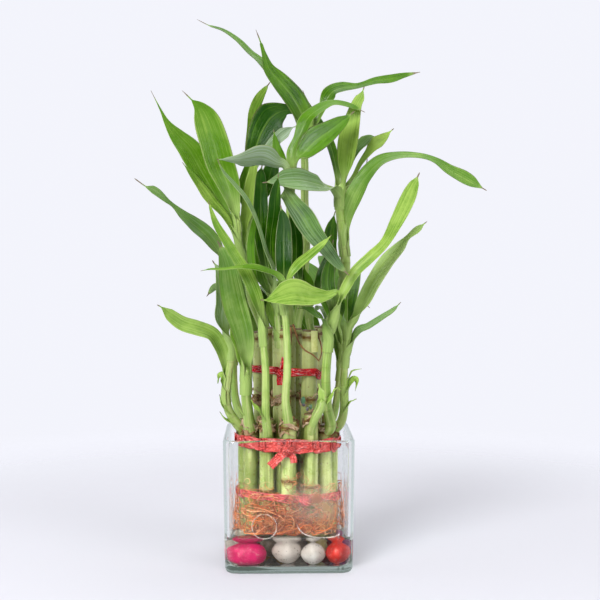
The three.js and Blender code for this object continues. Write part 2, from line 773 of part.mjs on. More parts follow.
    aim: 62,
  },
  {
    cane: "inner_2",
    stem: [[-6, -20, 138], [-7, -20, 152], [-8, -19, 165]],
    leaves: [
      {
        from: 0.23,
        face: [0.3, -1, 0],
        through: [[-10, -23, 151, 4.5], [-12, -24, 160, 5], [-13, -24, 167, 0]],
      },
      {
        from: 0.99,
        face: [0.2, -1, 0],
        through: [[-13, -19, 183, 6], [-16, -18, 201, 9.5], [-17, -17, 219, 9.5],
          [-17, -13, 232, 8], [-17, -8, 242, 5.5], [-16, -5, 249, 0]],
      },
      {
        from: 0.99,
        face: [0.3, -1, 0],
        through: [[-10, -23, 184, 4.5], [-11, -24, 201, 6.5], [-9, -25, 217, 8],
          [-8, -26, 230, 6.5], [-6, -26, 241, 0]],
      },
      {
        from: 0.99,
        face: [1, -0.5, 0.4],
        through: [[-9, -26, 182, 5], [-14, -28, 195, 5], [-19, -30, 212, 5], [-25, -32, 225, 6],
          [-33, -33, 235, 5], [-39, -33, 242, 3.5], [-43, -33, 250, 0]],
      },
      {
        from: 0.93,
        face: [0.3, -1, 0.2],
        through: [[-13, -16, 172, 8], [-17, -14, 184, 11.5], [-20, -13, 198, 7.5],
          [-19, -12, 209, 0]],
      },
    ],
    back: 0,
  },
  {
    cane: "inner_3",
    stem: [[15, -12, 140], [13, -11, 152], [12, -10, 164]],
    leaves: [
      {
        from: 0.77,
        face: [-0.4, -1, 0.2],
        through: [[10, -12, 167, 10.5], [11, -13, 176, 12], [10, -14, 182, 6], [10, -14, 187, 0]],
      },
      {
        from: 0.99,
        face: [0.1, -1, 0],
        through: [[7, -15, 174, 5], [5, -16, 188, 7.5], [5, -16, 201, 8], [3, -16, 215, 5.5],
          [1, -16, 227, 0]],
      },
      {
        from: 0.89,
        face: [-0.3, -1, 0],
        through: [[19, -9, 170, 8.5], [24, -8, 182, 11], [27, -7, 192, 7.5], [28, -6, 202, 0]],
      },
    ],
    back: 0,
  },
  { cane: "outer_08", height: 52, lean: 6, leaves: [], back: 4, aim: 100 },
  { cane: "outer_09", height: 44, lean: 9, leaves: [], back: 4 },
  { cane: "outer_10", height: 56, lean: 8, leaves: [], back: 4 },
  { cane: "outer_11", height: 47, lean: 6, leaves: [], back: 4, aim: 76 },
];

// A stem starts inside its cane, which then cuts it to fit.
function stemOf(shoot, one) {
  const side = (distance, z) => caneAt(one, z).addScaledVector(one.out, distance);
  const foot = one.head.z - 4;
  const points = shoot.stem
    ? shoot.stem.map((point) => new THREE.Vector3(...point))
    : [
        side(7, foot + 2),
        side(10, foot + 12),
        side(10 + shoot.lean * 0.4, foot + shoot.height * 0.5),
        side(10 + shoot.lean, foot + shoot.height),
      ];
  const start = caneAt(one, Math.min(points[0].z, one.head.z) - 5);
  return spine([start, ...points]);
}

// A stem has a bulb where it breaks out of its cane, and narrows to its top.
function stemRings(stem, outward, foot) {
  const steps = Math.max(4, Math.round(stem.length / 21));
  return Array.from({ length: steps + 1 }, (_, k) => {
    const share = k / steps;
    const { point, tangent } = stem.at(share);
    if (k === steps) return [point];
    const normal = squareTo(tangent, outward.clone().addScaledVector(up, -1));
    const across = tangent.clone().cross(normal);
    const bulb = stemRadius.bulb * Math.max(0, 1 - share * 4);
    const radius = foot * THREE.MathUtils.lerp(1, stemRadius.taper, share) + bulb;
    return Array.from({ length: 6 }, (_, i) => {
      const turn = (i / 6) * 2 * Math.PI;
      return point
        .clone()
        .addScaledVector(normal, radius * Math.cos(turn))
        .addScaledVector(across, radius * Math.sin(turn));
    });
  });
}

// Points spread over everything placed so far, in cells, to keep later leaves clear of it.
const cellSize = 8;
const cells = new Map();
const cellOf = (point, dx = 0, dy = 0, dz = 0) =>
  [point.x, point.y, point.z].map((value, i) => Math.floor(value / cellSize) + [dx, dy, dz][i]).join();

function remember(owner, points, radius) {
  for (const point of points) {
    const key = cellOf(point);
    if (!cells.has(key)) cells.set(key, []);
    cells.get(key).push({ owner, point, radius });
  }
}

function isClear(owner, points) {
  for (const point of points)
    for (const dx of [-1, 0, 1])
      for (const dy of [-1, 0, 1])
        for (const dz of [-1, 0, 1])
          for (const other of cells.get(cellOf(point, dx, dy, dz)) ?? [])
            if (other.owner !== owner && other.point.distanceTo(point) < other.radius + clearance) return false;
  return true;
}

// Points over a blade, about three millimetres apart, from a share of its length on.
function bladePoints(rings, fromRing) {
  const points = [];
  for (let k = fromRing; k < rings.length - 1; k++) {
    const [low, high] = [rings[k], rings[k + 1]];
    const steps = Math.ceil(low[0].distanceTo(high[0]) / 3);
    for (let i = 0; i < steps; i++) {
      const lowHigh = [0, 1, 2].map((j) => low[j].clone().lerp(high[j % high.length], i / steps));
      for (const [a, b] of [[lowHigh[0], lowHigh[1]], [lowHigh[1], lowHigh[2]]]) {
        const across = Math.ceil(a.distanceTo(b) / 3);
        for (let j = 0; j <= across; j++) points.push(a.clone().lerp(b, j / Math.max(1, across)));
      }
    }
  }
  return points;
}

const linePoints = (from, to, step = 3) => {
  const count = Math.ceil(from.distanceTo(to) / step);
  return Array.from({ length: count + 1 }, (_, i) => from.clone().lerp(to, i / count));
};

// A leaf placed by rule: it rises from its stem in its heading, arches over and hangs to its tip.
// Each later try swings it further round and draws it in a little.
function ruledLeaf(stem, draw, attempt) {
  const swing = (attempt % 2 ? 1 : -1) * Math.ceil(attempt / 2) * 6;
  const heading = THREE.MathUtils.degToRad(draw.heading + swing);
  const out = new THREE.Vector3(Math.cos(heading), Math.sin(heading), 0);
  const length = draw.length * (1 - 0.012 * attempt);
  const root = stem.at(draw.from).point;
  const reach = (across, rise, share) => {
    const point = root.clone().addScaledVector(out, across * length).addScaledVector(up, rise * length);
    return [point.x, point.y, point.z, share * draw.width];
  };
  return {
    from: draw.from,
    face: [-out.x - draw.tilt * out.y, -out.y + draw.tilt * out.x, 1.4],
    through: [
      reach(0.07, 0.18, 0.6),
      reach(0.18, 0.38, 0.92),
      reach(0.34, 0.53 + 0.03 * draw.rise, 1),
      reach(0.52, 0.56 + 0.16 * draw.rise, 0.84),
      reach(0.68, 0.5 + 0.32 * draw.rise, 0.5),
      reach(0.82, 0.38 + 0.5 * draw.rise, 0),
    ],
  };
}

// Leaves of one shoot that point to the back, fanned a little either way.
const backFan = [0, 22, -22, 11, -11];
function backDraw(shoot, i, random) {
  return {
    from: (shoot.crown ?? 0.97) * (1 - 0.4 * (i / shoot.back)),
    heading: (shoot.aim ?? 90) + backFan[i] + (random() - 0.5) * 16,
    length: 60 + 26 * random(),
    width: 11 + 6 * random(),
    rise: random(),
    tilt: (random() - 0.5) * 1.2,
  };
}

function makePlant() {
  const canes = caneList();
  const byName = Object.fromEntries(canes.map((one) => [one.name, one]));
  for (const one of canes) {
    addMesh(`cane_${one.name}`, caneGeometry(one), materials.cane);
    remember(one.name, linePoints(one.foot, one.head), one.radius + 0.6);
  }
  const plants = shoots.map((shoot) => {
    const stem = stemOf(shoot, byName[shoot.cane]);
    const leaves = shoot.leaves.map((leaf) => leafRings(leafOn(stem, leaf)));
    const line = Array.from({ length: 31 }, (_, i) => stem.at(i / 30).point);
    remember(shoot.cane, line, shoot.radius ?? stemRadius.foot);
    for (const rings of leaves) remember(shoot.cane, bladePoints(rings, 0), 0);
    return { shoot, stem, leaves };
  });
  const random = randomSource(90210);
  for (const { shoot, stem, leaves } of plants) {
    for (let i = 0; i < shoot.back; i++) {
      const draw = backDraw(shoot, i, random);
      for (let attempt = 0; attempt < 20; attempt++) {
        const rings = leafRings(leafOn(stem, ruledLeaf(stem, draw, attempt)));
        const points = bladePoints(rings, 0);
        if (!isClear(shoot.cane, points)) continue;
        remember(shoot.cane, points, 0);
        leaves.push(rings);
        break;
      }
    }
  }
  for (const { shoot, stem, leaves } of plants) {
    const one = byName[shoot.cane];
    const body = joined([
      toSolid(skin(stemRings(stem, one.out, shoot.radius ?? stemRadius.foot))),
      ...leaves.map((rings) => toSolid(skin(rings))),
    ]);
    const fitted = mainBody(body.subtract(toSolid(caneGeometry(one, gap))));
    addMesh(`shoot_${shoot.cane}`, toGeometry(fitted), materials.leaf);
  }
  return canes;
}

// A flat strip of ribbon through points, lying square to the direction it faces.
function strip(points, face, width, thickness) {
  const line = spine(points.map((point) => new THREE.Vector3(...point)));
  const steps = points.length;
  const looking = new THREE.Vector3(...face);
  return skin(
    Array.from({ length: steps + 1 }, (_, k) => {
      const { point, tangent } = line.at(k / steps);
      const normal = squareTo(tangent, looking);
      const side = tangent.clone().cross(normal);
      const corner = (across, out) =>
        point
          .clone()
          .addScaledVector(side, (across * width) / 2)
          .addScaledVector(normal, (out * thickness) / 2);
      return [corner(-1, -1), corner(-1, 1), corner(1, 1), corner(1, -1)];
    }),
  );
}

// Each ribbon lies round a ring of canes, with its two ends held in a knot at the front.
const ribbons = [
  {
    name: "ribbon_upper",
    tier: "inner",
    level: 121,
    tilt: 1.6,
    height: 5.4,
    knot: { at: [-4.8, -25, 120.6], size: [3.2, 1.8, 3.6] },
    strips: [
      { through: [[-4.8, -25.2, 121], [-5.4, -25.5, 117], [-5.2, -25.6, 113]], face: [0, -1, 0], width: 4 },
      { through: [[-4.8, -25.2, 121], [-3.6, -25.7, 126], [-2.8, -26, 130]], face: [0, -1, 0], width: 3 },
    ],
  },
  {
    name: "ribbon_middle",
    tier: "outer",
    level: 76.6,
    tilt: 1.2,
    height: 8,
    knot: { at: [-0.6, -34, 74.6], size: [5, 2.1, 4.6] },
    strips: [
      { through: [[-0.8, -34.2, 75], [-5.4, -34.6, 71], [-11.4, -34.4, 65]], face: [0, -1, 0], width: 5.2 },
      { through: [[0, -34.4, 74], [2.4, -34.8, 70.4], [3, -34.6, 67]], face: [0, -1, 0], width: 4 },
    ],
  },
  {
    name: "ribbon_lower",
    tier: "outer",
    level: 44.6,
    tilt: 1.4,
    height: 5.6,
    knot: { at: [9, -32.6, 43.8], size: [5.4, 1.2, 3.2] },
    strips: [],
  },
];

// The belt of a ribbon bears on every cane, a little crumpled; its height falls to the right.
// It is made as two halves that meet at the back.
function beltHalves({ tier, level, tilt, height, knot }, canes) {
  const ring = canes.filter((one) => one.name.startsWith(tier) && one.out.length() && one.name !== "inner_7");
  const reach = 180 / ring.length;
  const turns = tier === "inner" ? [-reach, 0, reach] : [-reach, reach];
  const bearing = (point) => THREE.MathUtils.radToDeg(Math.atan2(point.x, -point.y));
  const held = new THREE.Vector3(...knot.at);
  const fromKnot = (point) => (bearing(point) - bearing(held) + 720) % 360;
  const stations = ring.flatMap((one) =>
    turns.map((side) => {
      const turn = THREE.MathUtils.degToRad(one.angle + side);
      const out = new THREE.Vector3(Math.sin(turn), -Math.cos(turn), 0);
      return { one, out, order: fromKnot(caneAt(one, level).addScaledVector(out, one.radius)) };
    }),
  );
  stations.sort((a, b) => a.order - b.order);
  const bare = cane.swelling + gap;
  const random = randomSource(Math.round(level * 10));
  const rings = stations.map(({ one, out }) => {
    const z = level - tilt * out.x + 0.8 * (random() - 0.5);
    const middle = caneAt(one, z);
    const at = (distance, rise) => middle.clone().addScaledVector(out, distance).setZ(z + rise);
    const near = one.radius + bare;
    const far = near + 0.8 + 0.5 * random();
    const half = (height / 2) * (0.85 + 0.3 * random());
    return [at(near, -half), at(near, half), at(far, half * 0.8), at(far, -half * 0.8)];
  });
  const toKnot = (ring, way) =>
    ring.map((point) =>
      point.clone().sub(ring[0]).multiplyScalar(0.5).add(held).add(new THREE.Vector3(way, 0, -1.2)),
    );
  const back = Math.floor(rings.length / 2);
  return [
    skin([toKnot(rings[0], 0.6), ...rings.slice(0, back + 1)]),
    skin([...rings.slice(back), toKnot(rings.at(-1), -0.6)]),
  ];
}

// A crumpled lump.
function knotGeometry({ at, size }) {
  const geometry = new THREE.SphereGeometry(1, 8, 6);
  const position = geometry.getAttribute("position");
  for (let i = 0; i < position.count; i++) {
    const [x, y, z] = [position.getX(i), position.getY(i), position.getZ(i)];
    const crumple = 1 + 0.12 * Math.sin(7 * x + 5 * z) * Math.cos(6 * y);
    position.setXYZ(i, x * size[0] * crumple, y * size[1] * crumple, z * size[2] * crumple);
  }
  return geometry.translate(...at);
}

function makeRibbons(canes) {
  for (const ribbon of ribbons) {
    const pieces = [...beltHalves(ribbon, canes), knotGeometry(ribbon.knot)];
    for (const { through, face, width } of ribbon.strips) pieces.push(strip(through, face, width, 1));
    addMesh(ribbon.name, toGeometry(mainBody(joined(pieces.map(toSolid)))), materials.ribbon);
  }
}

// Roots hang between the canes and the glass: strands on each side, joined by one that lies along it.
const rootSides = [
  { side: 0, count: 8 },
  { side: 90, count: 5 },
  { side: 180, count: 5 },
  { side: -90, count: 5 },
];
const rootZone = { low: 22.9, bar: 31, high: 51, near: 34.3, corner: 41, under: 42 };

function rootPoint(side, angle, z, depth) {
  const turn = THREE.MathUtils.degToRad(side + angle);
  const wall = Math.min(rootZone.corner, rootZone.near / Math.cos(THREE.MathUtils.degToRad(angle)));
  const distance = wall - 1.3 * depth * THREE.MathUtils.clamp((rootZone.under - z) / 6, 0, 1);
  return new THREE.Vector3(distance * Math.sin(turn), -distance * Math.cos(turn), z);
}

function rootStrand(points, radius) {
  const line = spine(points);
  const steps = points.length;
  return skin(
    Array.from({ length: steps + 1 }, (_, k) => {
      const { point, tangent } = line.at(k / steps);
      const normal = squareTo(tangent, new THREE.Vector3(0.3, 0.2, 1));
      const across = tangent.clone().cross(normal);
      return [0, 1, 2].map((i) =>
        point
          .clone()
          .addScaledVector(normal, radius * Math.cos((i * 2 * Math.PI) / 3))
          .addScaledVector(across, radius * Math.sin((i * 2 * Math.PI) / 3)),
      );
    }),
  );
}

function makeRoots() {
  const random = randomSource(5511);
  const strands = [];
  for (const { side, count } of rootSides) {
    const bar = [-46, -30, -12, 12, 30, 46].map((angle) => rootPoint(side, angle, rootZone.bar, 0));
    strands.push(rootStrand(bar, 0.8));
    for (let i = 0; i < count; i++) {
      const angle = -37 + (74 * (i + 0.5)) / count;
      const high = THREE.MathUtils.lerp(36, rootZone.high, random());
      const sway = (random() - 0.5) * 16;
      const depth = random();
      const points = [
        rootPoint(side, angle + sway, high, depth),
        rootPoint(side, angle + sway * 0.6, (high + rootZone.bar) / 2, depth),
        rootPoint(side, angle, rootZone.bar, 0),
        rootPoint(side, angle - sway * 0.9, rootZone.low, depth * 0.6),
      ];
      strands.push(rootStrand(points, 0.65));
    }
  }
  addMesh("roots", toGeometry(mainBody(joined(strands.map(toSolid)))), materials.root);
}

makeVase();
makePebbles();
makeWater();
makeRibbons(makePlant());
makeRoots();

export default group;
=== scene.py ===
# Lucky bamboo in its square glass vase, finished round its solid part.
# Metres, +Z up, the photographed side towards -Y.
import math
import random

import bmesh
import bpy
from mathutils import Matrix, Vector, noise
from mathutils.kdtree import KDTree


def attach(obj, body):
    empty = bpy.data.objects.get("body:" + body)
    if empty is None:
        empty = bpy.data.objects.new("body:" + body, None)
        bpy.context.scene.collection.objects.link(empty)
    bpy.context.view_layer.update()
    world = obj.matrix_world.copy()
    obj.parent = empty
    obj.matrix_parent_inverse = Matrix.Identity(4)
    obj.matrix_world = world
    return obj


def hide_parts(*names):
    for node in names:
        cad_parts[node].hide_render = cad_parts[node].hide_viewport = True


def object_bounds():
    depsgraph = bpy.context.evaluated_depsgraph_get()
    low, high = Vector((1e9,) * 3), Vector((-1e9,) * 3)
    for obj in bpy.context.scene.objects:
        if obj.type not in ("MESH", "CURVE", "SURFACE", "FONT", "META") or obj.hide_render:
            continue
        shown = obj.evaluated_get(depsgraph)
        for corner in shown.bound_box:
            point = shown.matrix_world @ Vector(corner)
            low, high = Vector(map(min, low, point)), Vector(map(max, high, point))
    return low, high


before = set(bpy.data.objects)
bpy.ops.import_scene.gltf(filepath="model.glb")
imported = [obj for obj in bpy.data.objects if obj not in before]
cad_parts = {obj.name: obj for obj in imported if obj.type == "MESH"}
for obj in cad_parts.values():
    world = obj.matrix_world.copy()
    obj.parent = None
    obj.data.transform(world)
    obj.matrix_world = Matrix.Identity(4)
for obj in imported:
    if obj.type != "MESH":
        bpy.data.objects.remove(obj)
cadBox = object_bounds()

mm = 0.001
scene = bpy.context.scene
scene.view_settings.view_transform = "Standard"


# Node trees: everything here adds to the tree that was started last

class Wire:  # an output of a node; sums, differences and products of wires are Math nodes
    def __init__(self, socket):
        self.socket = socket

    def twin(self, name):  # another output of the same node
        return Wire(self.socket.node.outputs[name])

    def __add__(self, other):
        return calc("ADD", self, other)

    def __sub__(self, other):
        return calc("SUBTRACT", self, other)

    def __rsub__(self, other):
        return calc("SUBTRACT", other, self)

    def __mul__(self, other):
        return calc("MULTIPLY", self, other)


def feed(node, sockets):  # name or number of an input to its value or wire
    for key, value in sockets.items():
        if isinstance(value, Wire):
            tree.links.new(value.socket, node.inputs[key])
        else:
            node.inputs[key].default_value = value


def addNode(kind, sockets=None, out=0, **settings):
    node = tree.nodes.new(kind)
    for key, value in settings.items():
        setattr(node, key, value)
    feed(node, sockets or {})
    return Wire(node.outputs[out])


def calc(operation, *values):
    return addNode("ShaderNodeMath", dict(enumerate(values)), operation=operation)


def vectorCalc(operation, sockets, out=0):
    return addNode("ShaderNodeVectorMath", sockets, out, operation=operation)


def scaled(vector, size):
    return vectorCalc("SCALE", {0: vector, 3: size})


def parts(vector):
    x = addNode("ShaderNodeSeparateXYZ", {0: vector})
    return x, x.twin("Y"), x.twin("Z")


def combined(x, y, z):
    return addNode("ShaderNodeCombineXYZ", {0: x, 1: y, 2: z})


def ramp(value, low, high, toLow=0.0, toHigh=1.0):  # smooth step from low to high
    sockets = {0: value, 1: low, 2: high, 3: toLow, 4: toHigh}
    return addNode("ShaderNodeMapRange", sockets, interpolation_type="SMOOTHSTEP")


def grain(vector, scale, detail=2.0):
    return addNode("ShaderNodeTexNoise", {"Vector": vector, "Scale": scale, "Detail": detail}, "Fac")


def mixColour(share, first, second):
    return addNode("ShaderNodeMix", {0: share, 6: first, 7: second}, 2, data_type="RGBA")


def mixShader(share, first, second):
    return addNode("ShaderNodeMixShader", {0: share, 1: first, 2: second})


def rgb(red, green, blue):  # a colour as seen on screen, 0 to 255, in linear light
    return tuple((part / 255) ** 2.2 for part in (red, green, blue)) + (1.0,)


def startGroup(name, kind, inputs):  # inputs: label to default; a label without one names its own type
    global tree
    tree = bpy.data.node_groups.new(name, kind)
    for label, value in inputs.items():
        socketType = {int: "Int", float: "Float"}.get(type(value), label)
        socket = tree.interface.new_socket(name=label, in_out="INPUT", socket_type="NodeSocket" + socketType)
        if value is not None:
            socket.default_value = value
    made = "NodeSocketGeometry" if kind == "GeometryNodeTree" else "NodeSocketFloat"
    tree.interface.new_socket(name="Made", in_out="OUTPUT", socket_type=made)
    given = tree.nodes.new("NodeGroupInput").outputs
    return {label: Wire(given[label]) for label in inputs}


def endGroup(made):
    feed(tree.nodes.new("NodeGroupOutput"), {0: made})
    return tree


def startMaterial(name):
    global tree
    material = bpy.data.materials.new(name)
    material.use_nodes = True
    tree = material.node_tree
    return material


def baseShader():
    return Wire(tree.nodes["Principled BSDF"].outputs[0])


def endMaterial(material, sockets, **ends):
    feed(tree.nodes["Principled BSDF"], sockets)
    feed(tree.nodes["Material Output"], ends)
    return material


def field(name, out="Fac"):
    return addNode("ShaderNodeAttribute", out=out, attribute_name=name)


def objectSpot():
    return addNode("ShaderNodeTexCoord", out="Object")


def bumps(height, strength, distance):
    return addNode("ShaderNodeBump", {"Strength": strength, "Distance": distance, "Height": height})


def passShadow(surface, colour):  # light goes straight on through it
    clear = addNode("ShaderNodeBsdfTransparent", {0: colour})
    return mixShader(addNode("ShaderNodeLightPath", out="Is Shadow Ray"), surface, clear)


# Objects, meshes and numbers

def linkObject(name, data):
    thing = bpy.data.objects.new(name, data)
    scene.collection.objects.link(thing)
    return thing


def keepMesh(name, shape):  # a smooth object from a bmesh
    for face in shape.faces:
        face.smooth = True
    mesh = bpy.data.meshes.new(name)
    shape.to_mesh(mesh)
    shape.free()
    return linkObject(name, mesh)


def smoothStep(value):
    value = max(0.0, min(1.0, value))
    return value * value * (3 - 2 * value)


def mixed(first, second, share):
    return first + (second - first) * share


def flat(spot):
    return Vector((spot.x, spot.y, 0))


def outwards(turn):  # level, away from the middle; 0 looks at the camera
    return Vector((math.sin(turn), -math.cos(turn), 0))


def quarterTurn(side):
    return Matrix.Rotation(side * math.pi / 2, 3, "Z")


# Camera and studio

shotCamera = {
    "spot": (-0.0104, -0.734, 0.1948),
    "panDegrees": 1.4,  # to the right
    "dipDegrees": 2.416,
    "lens": 70.0,
    "sensor": 36.0,
}

studio = {
    "seenSky": rgb(243, 244, 252),
    "roughSky": rgb(246, 245, 246),  # what lights rough surfaces
    "skyLight": 0.36,  # and its share of the seen brightness
    "skyShine": (0.85, 0.05),  # and in reflections, from the sides and from the dark room in front
    "floor": rgb(218, 218, 226),
    "floorTint": rgb(228, 228, 240),
    "floorRadius": 3.0,
    "floorCorners": 96,
    "mirrorFade": 0.85,  # how much of the floor is gone from reflections
    "fade": (0.1, 0.6),  # radii over which the floor melts into the sky
    "lights": [  # name, spot, target, size, watts
        ("keyLight", (-0.7, -1.05, 0.78), (0.0, 0.0, 0.16), 0.7, 19.0),
        ("fillLight", (1.0, -0.85, 0.6), (0.0, 0.0, 0.14), 0.7, 6.0),
        ("topLight", (0.1, 0.35, 1.25), (0.0, 0.0, 0.15), 1.5, 8.0),
    ],
}


def makeCamera(plan):
    data = bpy.data.cameras.new("shotCamera")
    data.lens = plan["lens"]
    data.sensor_width = plan["sensor"]
    camera = linkObject("shotCamera", data)
    camera.location = plan["spot"]
    camera.rotation_euler = (math.radians(90 - plan["dipDegrees"]), 0, -math.radians(plan["panDegrees"]))
    bpy.context.scene.camera = camera


def mirrorRays():  # 1 for what a reflection shows
    return calc("MINIMUM", addNode("ShaderNodeLightPath", out="Glossy Depth"), 1.0)


def makeSky(plan):
    global tree
    scene.world = bpy.data.worlds.new("studioSky")
    scene.world.use_nodes = True
    tree = scene.world.node_tree
    rough = addNode("ShaderNodeLightPath", out="Is Diffuse Ray")
    way = parts(addNode("ShaderNodeTexCoord", out="Generated"))[1]
    shine = ramp(way, -0.15, -0.75, *plan["skyShine"])
    strength = 1.0 - rough * (1 - plan["skyLight"]) - mirrorRays() * (1.0 - shine)
    colour = mixColour(rough, plan["seenSky"], plan["roughSky"])
    feed(tree.nodes["Background"], {"Color": colour, "Strength": strength})


def makeLight(name, spot, target, size, watts):
    data = bpy.data.lights.new(name, "AREA")
    data.shape = "DISK"
    data.size = size
    data.energy = watts
    light = linkObject(name, data)
    light.location = spot
    light.rotation_euler = (Vector(target) - Vector(spot)).to_track_quat("-Z", "Y").to_euler()


def makeFloor(plan):
    shape = bmesh.new()
    bmesh.ops.create_circle(shape, cap_ends=True, segments=plan["floorCorners"], radius=plan["floorRadius"])
    floor = keepMesh("paleFloor", shape)
    material = startMaterial("paleFloor")
    spot = objectSpot()
    radius = vectorCalc("LENGTH", {0: spot}, "Value")
    fade = ramp(radius, *plan["fade"], 1.0, 0.0) * (1.0 - mirrorRays() * plan["mirrorFade"])
    tint = mixColour(grain(spot, 3.0) * 0.06, plan["floor"], plan["floorTint"])
    surface = mixShader(fade, addNode("ShaderNodeBsdfTransparent"), baseShader())
    endMaterial(material, {"Base Color": tint, "Roughness": 0.9, "Specular IOR Level": 0.1}, Surface=surface)
    floor.data.materials.append(material)


makeCamera(shotCamera)
makeSky(studio)
for light in studio["lights"]:
    makeLight(*light)
makeFloor(studio)
print("studio ready")


# Paths: the smooth line through a few points, and the sweeps that follow it

def smoothPath(points, stepsBetween):  # uniform Catmull-Rom through every point
    last = len(points) - 1
    line = []
    for step in range(last * stepsBetween + 1):
        place = step / stepsBetween
        i = min(int(place), last - 1)
        t = place - i
        before = points[i - 1] if i > 0 else points[0] * 2 - points[1]
        after = points[i + 2] if i + 2 <= last else points[last] * 2 - points[last - 1]
        start, end = (points[i + 1] - before) * 0.5, (after - points[i]) * 0.5
        line.append(
            points[i] + start * t
            + (points[i + 1] * 3 - points[i] * 3 - start * 2 - end) * t * t
            + (points[i] * 2 - points[i + 1] * 2 + start + end) * t ** 3
        )
    return line


def lengthsAlong(line):
    along = [0.0]
    for first, second in zip(line, line[1:]):
        along.append(along[-1] + (second - first).length)
    return along


def tangentsAlong(line):
    last = len(line) - 1
    return [(line[min(i + 1, last)] - line[max(i - 1, 0)]).normalized() for i in range(last + 1)]


def placeAlong(line, along, share):
    reach = share * along[-1]
    i = 1
    while i < len(line) - 1 and along[i] < reach:
        i += 1
    part = (reach - along[i - 1]) / (along[i] - along[i - 1])
    return line[i - 1].lerp(line[i], part)


def squareTo(tangent, direction):
    return (direction - tangent * direction.dot(tangent)).normalized()


def strandMesh(strands):  # strands of rows; a row holds its "spot" in mm and the fields of that point
    rows = [row for strand in strands for row in strand]
    edges = []
    first = 0
    for strand in strands:
        edges += [(first + i, first + i + 1) for i in range(len(strand) - 1)]
        first += len(strand)
    mesh = bpy.data.meshes.new("strands")
    mesh.from_pydata([row["spot"] * mm for row in rows], edges, [])
    for name in rows[0].keys() - {"spot"}:
        if isinstance(rows[0][name], Vector):
            layer = mesh.attributes.new(name, "FLOAT_VECTOR", "POINT")
            layer.data.foreach_set("vector", [part for row in rows for part in row[name]])
        else:
            layer = mesh.attributes.new(name, "FLOAT", "POINT")
            layer.data.foreach_set("value", [row[name] for row in rows])
    return mesh


def named(name, kind="FLOAT"):
    return addNode("GeometryNodeInputNamedAttribute", {0: name}, data_type=kind)


def storeSpot(shape, name):  # keeps where its points are now
    return addNode("GeometryNodeStoreNamedAttribute", {
        "Geometry": shape, "Name": name, "Value": addNode("GeometryNodeInputPosition"),
    }, data_type="FLOAT_VECTOR", domain="POINT")


def sweep(curve, count, scale):
    ring = addNode("GeometryNodeCurvePrimitiveCircle", {"Resolution": count, "Radius": 1.0})
    return addNode("GeometryNodeCurveToMesh", {
        "Curve": curve, "Profile Curve": storeSpot(ring, "section"), "Scale": scale, "Fill Caps": True,
    })


def endPiece(shape, material):
    shape = addNode("GeometryNodeRealizeInstances", {"Geometry": shape})
    return endGroup(addNode("GeometryNodeSetMaterial", {"Geometry": shape, "Material": material}))


# A round sweep: every strand becomes a tube of its own girth, a little uneven.
def makeTubeTree():
    given = startGroup("tubeSweep", "GeometryNodeTree", {
        "Geometry": None, "Sides": 8, "Bump": 0.0, "Bump Size": 300.0, "Seed": 0.0, "Material": None,
    })
    curve = addNode("GeometryNodeMeshToCurve", {"Mesh": given["Geometry"]})
    tube = sweep(curve, given["Sides"], named("girth"))
    rough = addNode("ShaderNodeTexNoise", {
        "Vector": addNode("GeometryNodeInputPosition"), "W": given["Seed"], "Scale": given["Bump Size"],
        "Detail": 2.0,
    }, "Fac", noise_dimensions="4D")
    push = scaled(addNode("GeometryNodeInputNormal"), (rough - 0.5) * given["Bump"])
    tube = addNode("GeometryNodeSetPosition", {"Geometry": tube, "Offset": push})
    return endPiece(addNode("GeometryNodeSetShadeSmooth", {"Geometry": tube}), given["Material"])


# A thin blade: every strand becomes a closed strip that is rolled round its line by "curl", creased along
# its rib and rippled towards its edges. "side" points to its right and "face" out of its upper face.
def makeBladeTree():
    given = startGroup("bladeSweep", "GeometryNodeTree", {
        "Geometry": None, "Around": 18, "Thickness": 0.0006, "Ripple": 0.1, "Ripple Size": 60.0,
        "Crumple": 0.0, "Crumple Size": 400.0, "Material": None,
    })
    curve = storeSpot(addNode("GeometryNodeMeshToCurve", {"Mesh": given["Geometry"]}), "spine")
    strip = sweep(curve, given["Around"], 0.001)
    across, above = parts(named("section", "FLOAT_VECTOR"))[:2]
    spine, side, face = (named(name, "FLOAT_VECTOR") for name in ("spine", "side", "face"))
    half, curl, along, seed = (named(name) for name in ("half", "curl", "along", "seed"))
    turn = across * curl
    radius = calc("DIVIDE", half, calc("SINE", calc("MINIMUM", curl, math.pi / 2)))
    inner = radius - above * given["Thickness"] * named("body") * 0.5
    right = inner * calc("SINE", turn)
    out = radius - inner * calc("COSINE", turn)
    off = calc("ABSOLUTE", across)
    crease = off * half * named("crease")
    wave = grain(combined(along * given["Ripple Size"], across * 0.9, seed), 1.0, 1.0)
    wave = (wave - 0.5) * given["Ripple"] * half * (off * off)
    crumple = grain(combined(along * given["Crumple Size"], across * 2.2, seed), 1.0, 3.0)
    crumple = (crumple - 0.5) * given["Crumple"]
    rise = (out + crease) + (wave + crumple) + named("lift")
    spot = vectorCalc("ADD", {0: spine, 1: scaled(side, right)})
    spot = vectorCalc("ADD", {0: spot, 1: scaled(face, rise)})
    strip = addNode("GeometryNodeSetPosition", {"Geometry": strip, "Position": spot})
    return endPiece(addNode("GeometryNodeSetShadeSmooth", {"Geometry": strip}), given["Material"])


tubeTree = makeTubeTree()
bladeTree = makeBladeTree()


